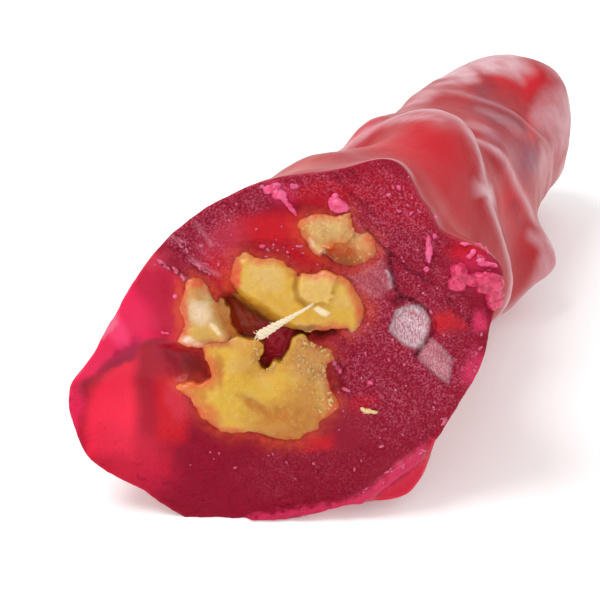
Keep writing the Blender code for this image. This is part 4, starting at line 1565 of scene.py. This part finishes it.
class CHURCHKHELA_OT_string(bpy.types.Operator):
    """Make the twisted cotton string with its frayed end"""

    bl_idname = "churchkhela.string"
    bl_label = "Cotton string"

    def execute(self, context):
        settings = context.scene.churchkhela_string
        rng = random.Random(FIBRE_SEED)
        line = eased_path(string_line(), 40)
        ahead = np.gradient(line, axis=0)
        ahead = ahead / np.linalg.norm(ahead, axis=1)[:, None]
        side = np.cross(ahead, CUT_RIGHT + 0.3 * CUT_UP)
        side = side / np.linalg.norm(side, axis=1)[:, None]
        across = np.cross(ahead, side)
        gone = np.concatenate([[0.0], np.cumsum(np.linalg.norm(np.diff(line, axis=0), axis=1))])
        loosen = smooth_step(gone[-1] - LOOSE_LENGTH, gone[-1], gone)
        radius = settings.radius / MM * (0.36 + 0.62 * loosen)
        closing = ((gone - gone[-1] + CLUB_ROUNDING) / CLUB_ROUNDING).clip(0.0)
        close = np.sqrt(np.clip(1.0 - closing**2, 0.03, 1.0))
        reach = radius * (0.48 + 0.35 * loosen) * (0.5 + 0.5 * close)
        paths, radii = [], []
        for ply in range(PLIES):
            angle = gone / TWIST_LENGTH * math.tau + ply * math.tau / PLIES
            path = line + (reach * np.cos(angle))[:, None] * side
            paths.append(path + (reach * np.sin(angle))[:, None] * across)
            radii.append(radius * (0.52 + 0.12 * loosen) * close)
        end, heading = line[-1], ahead[-1]
        for _ in range(settings.fibres):
            back = rng.uniform(0.1, 2.6)
            angle = rng.uniform(0.0, math.tau)
            spread = rng.uniform(0.1, 0.4)
            away = math.cos(angle) * side[-1] + math.sin(angle) * across[-1]
            start = end - heading * back + away * radius[-1] * 0.7
            reach = rng.uniform(0.15, 0.55)
            curl = rng.uniform(-0.3, 0.3)
            fibre = [
                start + heading * reach * share + away * spread * share**1.5 + CUT_UP * curl * share**2
                for share in np.linspace(0.0, 1.0, 7)
            ]
            paths.append(np.array(fibre))
            radii.append(FIBRE_RADIUS)
        obj = strand_mesh("string_cotton", paths, radii)
        finished(obj, cotton_finish(settings), "cotton", "string")
        return {"FINISHED"}


# Scraped flakes: right, up, half width, half height, thickness, turn.
FLAKES = (
    (15.55, 10.6, 0.4, 1.5, 0.35, 2.0),
    (15.3, 8.45, 0.35, 0.33, 0.3, 20.0),
    (5.6, 15.2, 0.95, 0.75, 0.4, -20.0),
    (6.4, 15.0, 0.6, 0.5, 0.35, 10.0),
    (5.0, 15.6, 0.5, 0.5, 0.35, 0.0),
    (5.3, 16.2, 0.3, 0.5, 0.25, 0.0),
    (-1.6, 17.0, 0.8, 0.5, 0.3, 20.0),
    (-0.6, 16.4, 0.8, 0.5, 0.3, 0.0),
    (0.2, 15.4, 0.95, 0.28, 0.3, -52.0),
    (0.9, 14.5, 0.6, 0.22, 0.3, -50.0),
    (-1.0, 17.4, 0.5, 0.4, 0.25, 0.0),
    (0.9, 17.3, 0.5, 0.3, 0.25, 0.0),
    (11.1, 16.4, 0.3, 0.2, 0.25, 10.0),
    (12.2, 17.2, 0.25, 0.35, 0.25, 30.0),
    (12.3, 14.7, 0.3, 0.2, 0.2, 15.0),
    (13.6, 14.4, 0.35, 0.2, 0.2, 35.0),
    (16.3, 14.1, 0.25, 0.2, 0.2, 0.0),
    (16.1, 12.0, 0.2, 0.3, 0.2, 0.0),
    (9.4, -4.2, 0.35, 0.22, 0.3, 0.0),
    (-13.1, 1.1, 0.6, 0.22, 0.25, -10.0),
    (-12.0, 5.2, 0.3, 0.2, 0.25, 0.0),
    (-2.4, 10.8, 0.4, 0.2, 0.25, 5.0),
    (5.7, -2.6, 0.25, 0.2, 0.2, 0.0),
    (6.1, -3.0, 0.2, 0.25, 0.2, 0.0),
    (21.5, 9.1, 1.1, 0.3, 0.3, -4.0),
    (20.9, 9.5, 0.5, 0.25, 0.3, 10.0),
    (22.3, 8.9, 0.5, 0.3, 0.3, 0.0),
    (20.1, 10.3, 0.55, 0.35, 0.3, 40.0),
    (19.7, 9.9, 0.3, 0.3, 0.3, 0.0),
    (19.4, 11.2, 0.8, 0.14, 0.25, 0.0),
    (20.8, 11.1, 0.5, 0.14, 0.25, -15.0),
    (21.6, 10.6, 0.14, 0.5, 0.25, 20.0),
)
# Lines of torn flecks on the cut: from right, up to right, up, then how many.
FLECK_LINES = (
    (-14.8, 9.5, -10.4, 7.2, 14),
    (-12.2, 11.9, -7.4, 6.8, 16),
    (-16.0, 8.6, -13.4, 11.2, 6),
    (-3.2, 17.4, -0.4, 17.0, 8),
    (11.4, 17.4, 17.2, 12.6, 14),
    (20.4, -6.6, 21.4, 1.6, 22),
    (19.4, 11.4, 22.6, 8.6, 10),
    (16.6, -9.4, 20.2, -6.2, 12),
    (8.4, -16.8, 15.6, -11.0, 12),
    (-2.8, 10.4, 1.0, 10.6, 8),
    (5.0, -1.4, 6.6, -4.6, 7),
)
# Crumbled edges of the lowest kernel, in the same way.
NUT_LINES = (
    (1.4, 0.6, 2.8, 0.0, 10),
    (2.8, -0.1, 4.8, -1.0, 14),
    (4.4, -2.2, 4.2, -4.8, 12),
    (4.6, -5.0, 5.3, -6.6, 10),
    (1.4, -0.8, 3.6, -3.6, 16),
    (-3.0, -0.2, -3.3, -2.2, 12),
    (-2.6, -3.2, 0.2, -1.8, 12),
)
# Clumps pushed up at the right rim: right, up, half width, half height, height.
CLUMPS = (
    (18.8, 8.3, 0.98, 0.85, 0.8),
    (18.6, 7.0, 0.98, 0.91, 0.8),
    (19.3, 7.7, 0.78, 0.65, 0.69),
    (20.1, 7.4, 1.04, 0.65, 0.69),
    (20.9, 7.6, 0.91, 0.65, 0.69),
    (21.8, 7.4, 1.3, 0.98, 1.03),
    (22.6, 7.0, 0.91, 1.04, 0.92),
    (22.3, 6.0, 0.91, 0.91, 0.92),
    (22.9, 5.4, 0.78, 1.04, 0.8),
    (22.5, 4.7, 0.65, 0.65, 0.69),
    (21.4, 6.5, 0.78, 0.65, 0.57),
)
# The one larger crumb of nut, in the same way.
NUT_CRUMB = ((9.1, -7.4, 0.55, 0.3, 0.25), (8.6, -7.2, 0.3, 0.28, 0.2), (9.8, -7.5, 0.35, 0.2, 0.2))


def pressed_lumps(name, features, voxel, raggedness):
    """Flat lumps pressed onto the cut, melted together where they touch and torn at the edges.

    Each is right, up, half width, half height and thickness, then its turn and its ground if given.
    """
    parts = []
    turned = Matrix((CUT_RIGHT, CUT_UP, CUT_NORMAL)).transposed()
    for right, up, wide, high, thick, *rest in features:
        turn = rest[0] if rest else 0.0
        ground = rest[1] if len(rest) > 1 else cut_ground(right, up)
        deselect()
        bpy.ops.mesh.primitive_ico_sphere_add(subdivisions=3, radius=1.0)
        lump = started(name + "_part")
        middle = at_cut(right, up, ground + 0.25 * thick)
        place = Matrix.Translation(Vector((middle + SHIFT) * MM))
        spin = Matrix.Rotation(math.radians(turn), 3, "Z")
        sizes = Matrix.Diagonal((wide * MM, high * MM, thick * MM))
        lump.data.transform(place @ (turned @ spin @ sizes).to_4x4())
        parts.append(lump)
    deselect()
    for part in parts:
        part.select_set(True)
    bpy.context.view_layer.objects.active = parts[0]
    bpy.ops.object.join()
    obj = started(name)
    fused(obj, voxel * MM)
    points = points_of(obj)
    rough = raggedness * ripple(points, 0.9, 3, 70.0) + 0.5 * raggedness * ripple(points, 0.35, 2, 80.0)
    place_points(obj, points + rough[:, None] * vertex_rows(obj, "normal"))
    return obj


def strewn(rng, lines, sizes, stray):
    """Place, size and heading of each bit strewn along lines over the cut."""
    for right, up, last_right, last_up, count in lines:
        heading = math.degrees(math.atan2(last_up - up, last_right - right))
        for _ in range(count):
            share = rng.uniform(0.0, 1.0)
            size = rng.uniform(*sizes)
            at_right = right + share * (last_right - right) + rng.gauss(0.0, stray)
            at_up = up + share * (last_up - up) + rng.gauss(0.0, stray)
            yield at_right, at_up, size, heading


class CHURCHKHELA_OT_shavings(bpy.types.Operator):
    """Make the pink clumps and flakes that the knife left on the cut"""

    bl_idname = "churchkhela.shavings"
    bl_label = "Shavings"

    def execute(self, context):
        for name, features, voxel, raggedness, finish_name, colour, dark in (
            ("jelly_clumps", CLUMPS, 0.12, 0.22, "clumped jelly", "clump pink", "clump red"),
            ("jelly_flakes", FLAKES, 0.09, 0.18, "scraped jelly", "scrap pink", "scrap red"),
        ):
            obj = pressed_lumps(name, features, voxel, raggedness)
            finished(obj, shaving_finish(finish_name, colour, dark), "jelly")
        return {"FINISHED"}


class CHURCHKHELA_OT_crumbs(bpy.types.Operator):
    """Scatter the tiny crumbs of nut and jelly over the cut"""

    bl_idname = "churchkhela.crumbs"
    bl_label = "Crumbs"

    def execute(self, context):
        rng = random.Random(CRUMB_SEED)
        nuts = pressed_lumps("nut_crumb", NUT_CRUMB, 0.08, 0.15)
        finished(nuts, shaving_finish("nut crumb", "pale crumb", "tan crumb"), "walnut")
        specks = []
        while len(specks) < SPECK_COUNT:
            right, up = rng.uniform(-12.0, 22.0), rng.uniform(-15.0, 17.5)
            if math.hypot(right / SPECK_FIELD[0], up / SPECK_FIELD[1]) > 0.95:
                continue
            if float(kernel_reach(np.array([right]), np.array([up]))[0]) > -0.2:
                continue
            if right < 2.0 and -12.0 < up < 8.0:
                continue
            size = rng.uniform(0.06, 0.16)
            wide = size * rng.uniform(0.8, 2.0)
            specks.append((right, up, wide, size, size * 0.8, rng.uniform(0.0, 180.0)))
        rim = rim_outline()
        for right, up, size, heading in strewn(rng, FLECK_LINES, (0.07, 0.2), 0.25):
            turn = heading + rng.gauss(0.0, 25.0)
            if float(inside_reach(np.array([right]), np.array([up]), rim)[0]) > FLECK_MARGIN:
                specks.append((right, up, size * rng.uniform(1.0, 3.0), size, 0.1, turn))
        bits = []
        for right, up, size, _ in strewn(rng, NUT_LINES, (0.06, 0.15), 0.2):
            ground = float(kernel_face("kernel_bottom", np.array([right]), np.array([up]))[0])
            wide = size * rng.uniform(1.0, 2.0)
            bits.append((right, up, wide, size, size, rng.uniform(0.0, 180.0), ground))
        broken = pressed_lumps("nut_bits", bits, 0.05, 0.07)
        finished(broken, shaving_finish("nut bits", "pale bit", "tan bit"), "walnut")
        dust = pressed_lumps("jelly_specks", specks, 0.05, 0.04)
        finished(dust, shaving_finish("jelly specks", "speck pink", "speck red"), "jelly")
        return {"FINISHED"}


def camera_place():
    """Where the camera stands and how it is turned, from its angles and the pixel of the cut."""
    ahead = np.array(
        [
            -math.sin(CAMERA_TURN) * math.cos(CAMERA_RISE),
            math.cos(CAMERA_TURN) * math.cos(CAMERA_RISE),
            -math.sin(CAMERA_RISE),
        ]
    )
    right = np.array([math.cos(CAMERA_TURN), math.sin(CAMERA_TURN), 0.0])
    up = np.cross(right, ahead)
    middle = PICTURE_PIXELS / 2.0
    aside = (CUT_PIXEL[0] - middle) / FOCUS_PIXELS * CAMERA_AWAY
    above = (middle - CUT_PIXEL[1]) / FOCUS_PIXELS * CAMERA_AWAY
    stand = CUT_CENTRE - aside * right - above * up - CAMERA_AWAY * ahead
    turned = Matrix((right, up, -ahead)).transposed().to_4x4()
    turned.translation = Vector((stand + SHIFT) * MM)
    return turned


class CHURCHKHELA_OT_stage(bpy.types.Operator):
    """Make the white table, the soft lights and the camera"""

    bl_idname = "churchkhela.stage"
    bl_label = "Stage"

    def execute(self, context):
        settings = context.scene.churchkhela_stage
        deselect()
        bpy.ops.mesh.primitive_plane_add(size=TABLE_SIZE, location=(0.0, 0.0, 0.0))
        floor = started("table_top")
        finish = Finish("white table")
        finish.set(Base_Color=(0.93, 0.93, 0.93, 1.0), Roughness=0.6)
        finish.set(Emission_Color=(1.0, 1.0, 1.0, 1.0), Emission_Strength=0.22)
        floor.data.materials.append(finish.material)
        deselect()
        world = bpy.data.worlds.new("white surround")
        world.use_nodes = True
        surround = world.node_tree.nodes["Background"].inputs
        surround["Color"].default_value = (1.0, 1.0, 1.0, 1.0)
        surround["Strength"].default_value = settings.daylight
        context.scene.world = world
        for name, (stand, aim, size, share) in LIGHTS.items():
            self.light(name, stand, aim, size, settings.window * share)
        camera = bpy.data.cameras.new("portrait")
        camera.sensor_width = SENSOR
        camera.lens = FOCUS_PIXELS * SENSOR / PICTURE_PIXELS
        camera.clip_start = 0.005
        camera.clip_end = 20.0
        holder = bpy.data.objects.new("portrait", camera)
        context.scene.collection.objects.link(holder)
        holder.matrix_world = camera_place()
        context.scene.camera = holder
        context.scene.view_settings.view_transform = "Standard"
        return {"FINISHED"}

    def light(self, name, stand, aim, size, power):
        """A round soft light, its place, aim and size in metres."""
        lamp = bpy.data.lights.new(name, "AREA")
        lamp.shape = "DISK"
        lamp.size = size
        lamp.energy = power
        holder = bpy.data.objects.new(name, lamp)
        bpy.context.scene.collection.objects.link(holder)
        holder.location = stand
        holder.rotation_euler = (Vector(aim) - Vector(stand)).to_track_quat("-Z", "Y").to_euler()


class CHURCHKHELA_PT_panel(bpy.types.Panel):
    """Sizes, colours and the operators of the churchkhela"""

    bl_idname = "CHURCHKHELA_PT_panel"
    bl_label = "Churchkhela"
    bl_space_type = "VIEW_3D"
    bl_region_type = "UI"
    bl_category = "Churchkhela"

    def draw(self, context):
        layout = self.layout
        for group, names, operator in (
            ("churchkhela_jelly", ("cut_colour", "skin_colour", "bloom_and_sheen_colour"), "churchkhela.jelly"),
            ("churchkhela_kernels", ("voxel", "flesh_colour"), "churchkhela.kernels"),
            ("churchkhela_string", ("radius", "fibres", "cotton_colour"), "churchkhela.string"),
            ("churchkhela_stage", ("daylight", "window"), "churchkhela.stage"),
        ):
            column = layout.column()
            for name in names:
                column.prop(getattr(context.scene, group), name)
            column.operator(operator)
        layout.operator("churchkhela.shavings")
        layout.operator("churchkhela.crumbs")


GROUPS = {
    "churchkhela_jelly": JellySettings,
    "churchkhela_kernels": KernelSettings,
    "churchkhela_string": StringSettings,
    "churchkhela_stage": StageSettings,
}
CLASSES = (
    CHURCHKHELA_OT_jelly,
    CHURCHKHELA_OT_kernels,
    CHURCHKHELA_OT_string,
    CHURCHKHELA_OT_shavings,
    CHURCHKHELA_OT_crumbs,
    CHURCHKHELA_OT_stage,
    CHURCHKHELA_PT_panel,
)


def register():
    for group in GROUPS.values():
        bpy.utils.register_class(group)
    for name, group in GROUPS.items():
        setattr(bpy.types.Scene, name, PointerProperty(type=group))
    for item in CLASSES:
        bpy.utils.register_class(item)


def unregister():
    for item in reversed(CLASSES):
        bpy.utils.unregister_class(item)
    for name, group in GROUPS.items():
        delattr(bpy.types.Scene, name)
        bpy.utils.unregister_class(group)


def main():
    register()
    bpy.ops.churchkhela.jelly()
    bpy.ops.churchkhela.kernels()
    bpy.ops.churchkhela.string()
    bpy.ops.churchkhela.shavings()
    bpy.ops.churchkhela.crumbs()
    bpy.ops.churchkhela.stage()


if __name__ == "__main__":
    main()
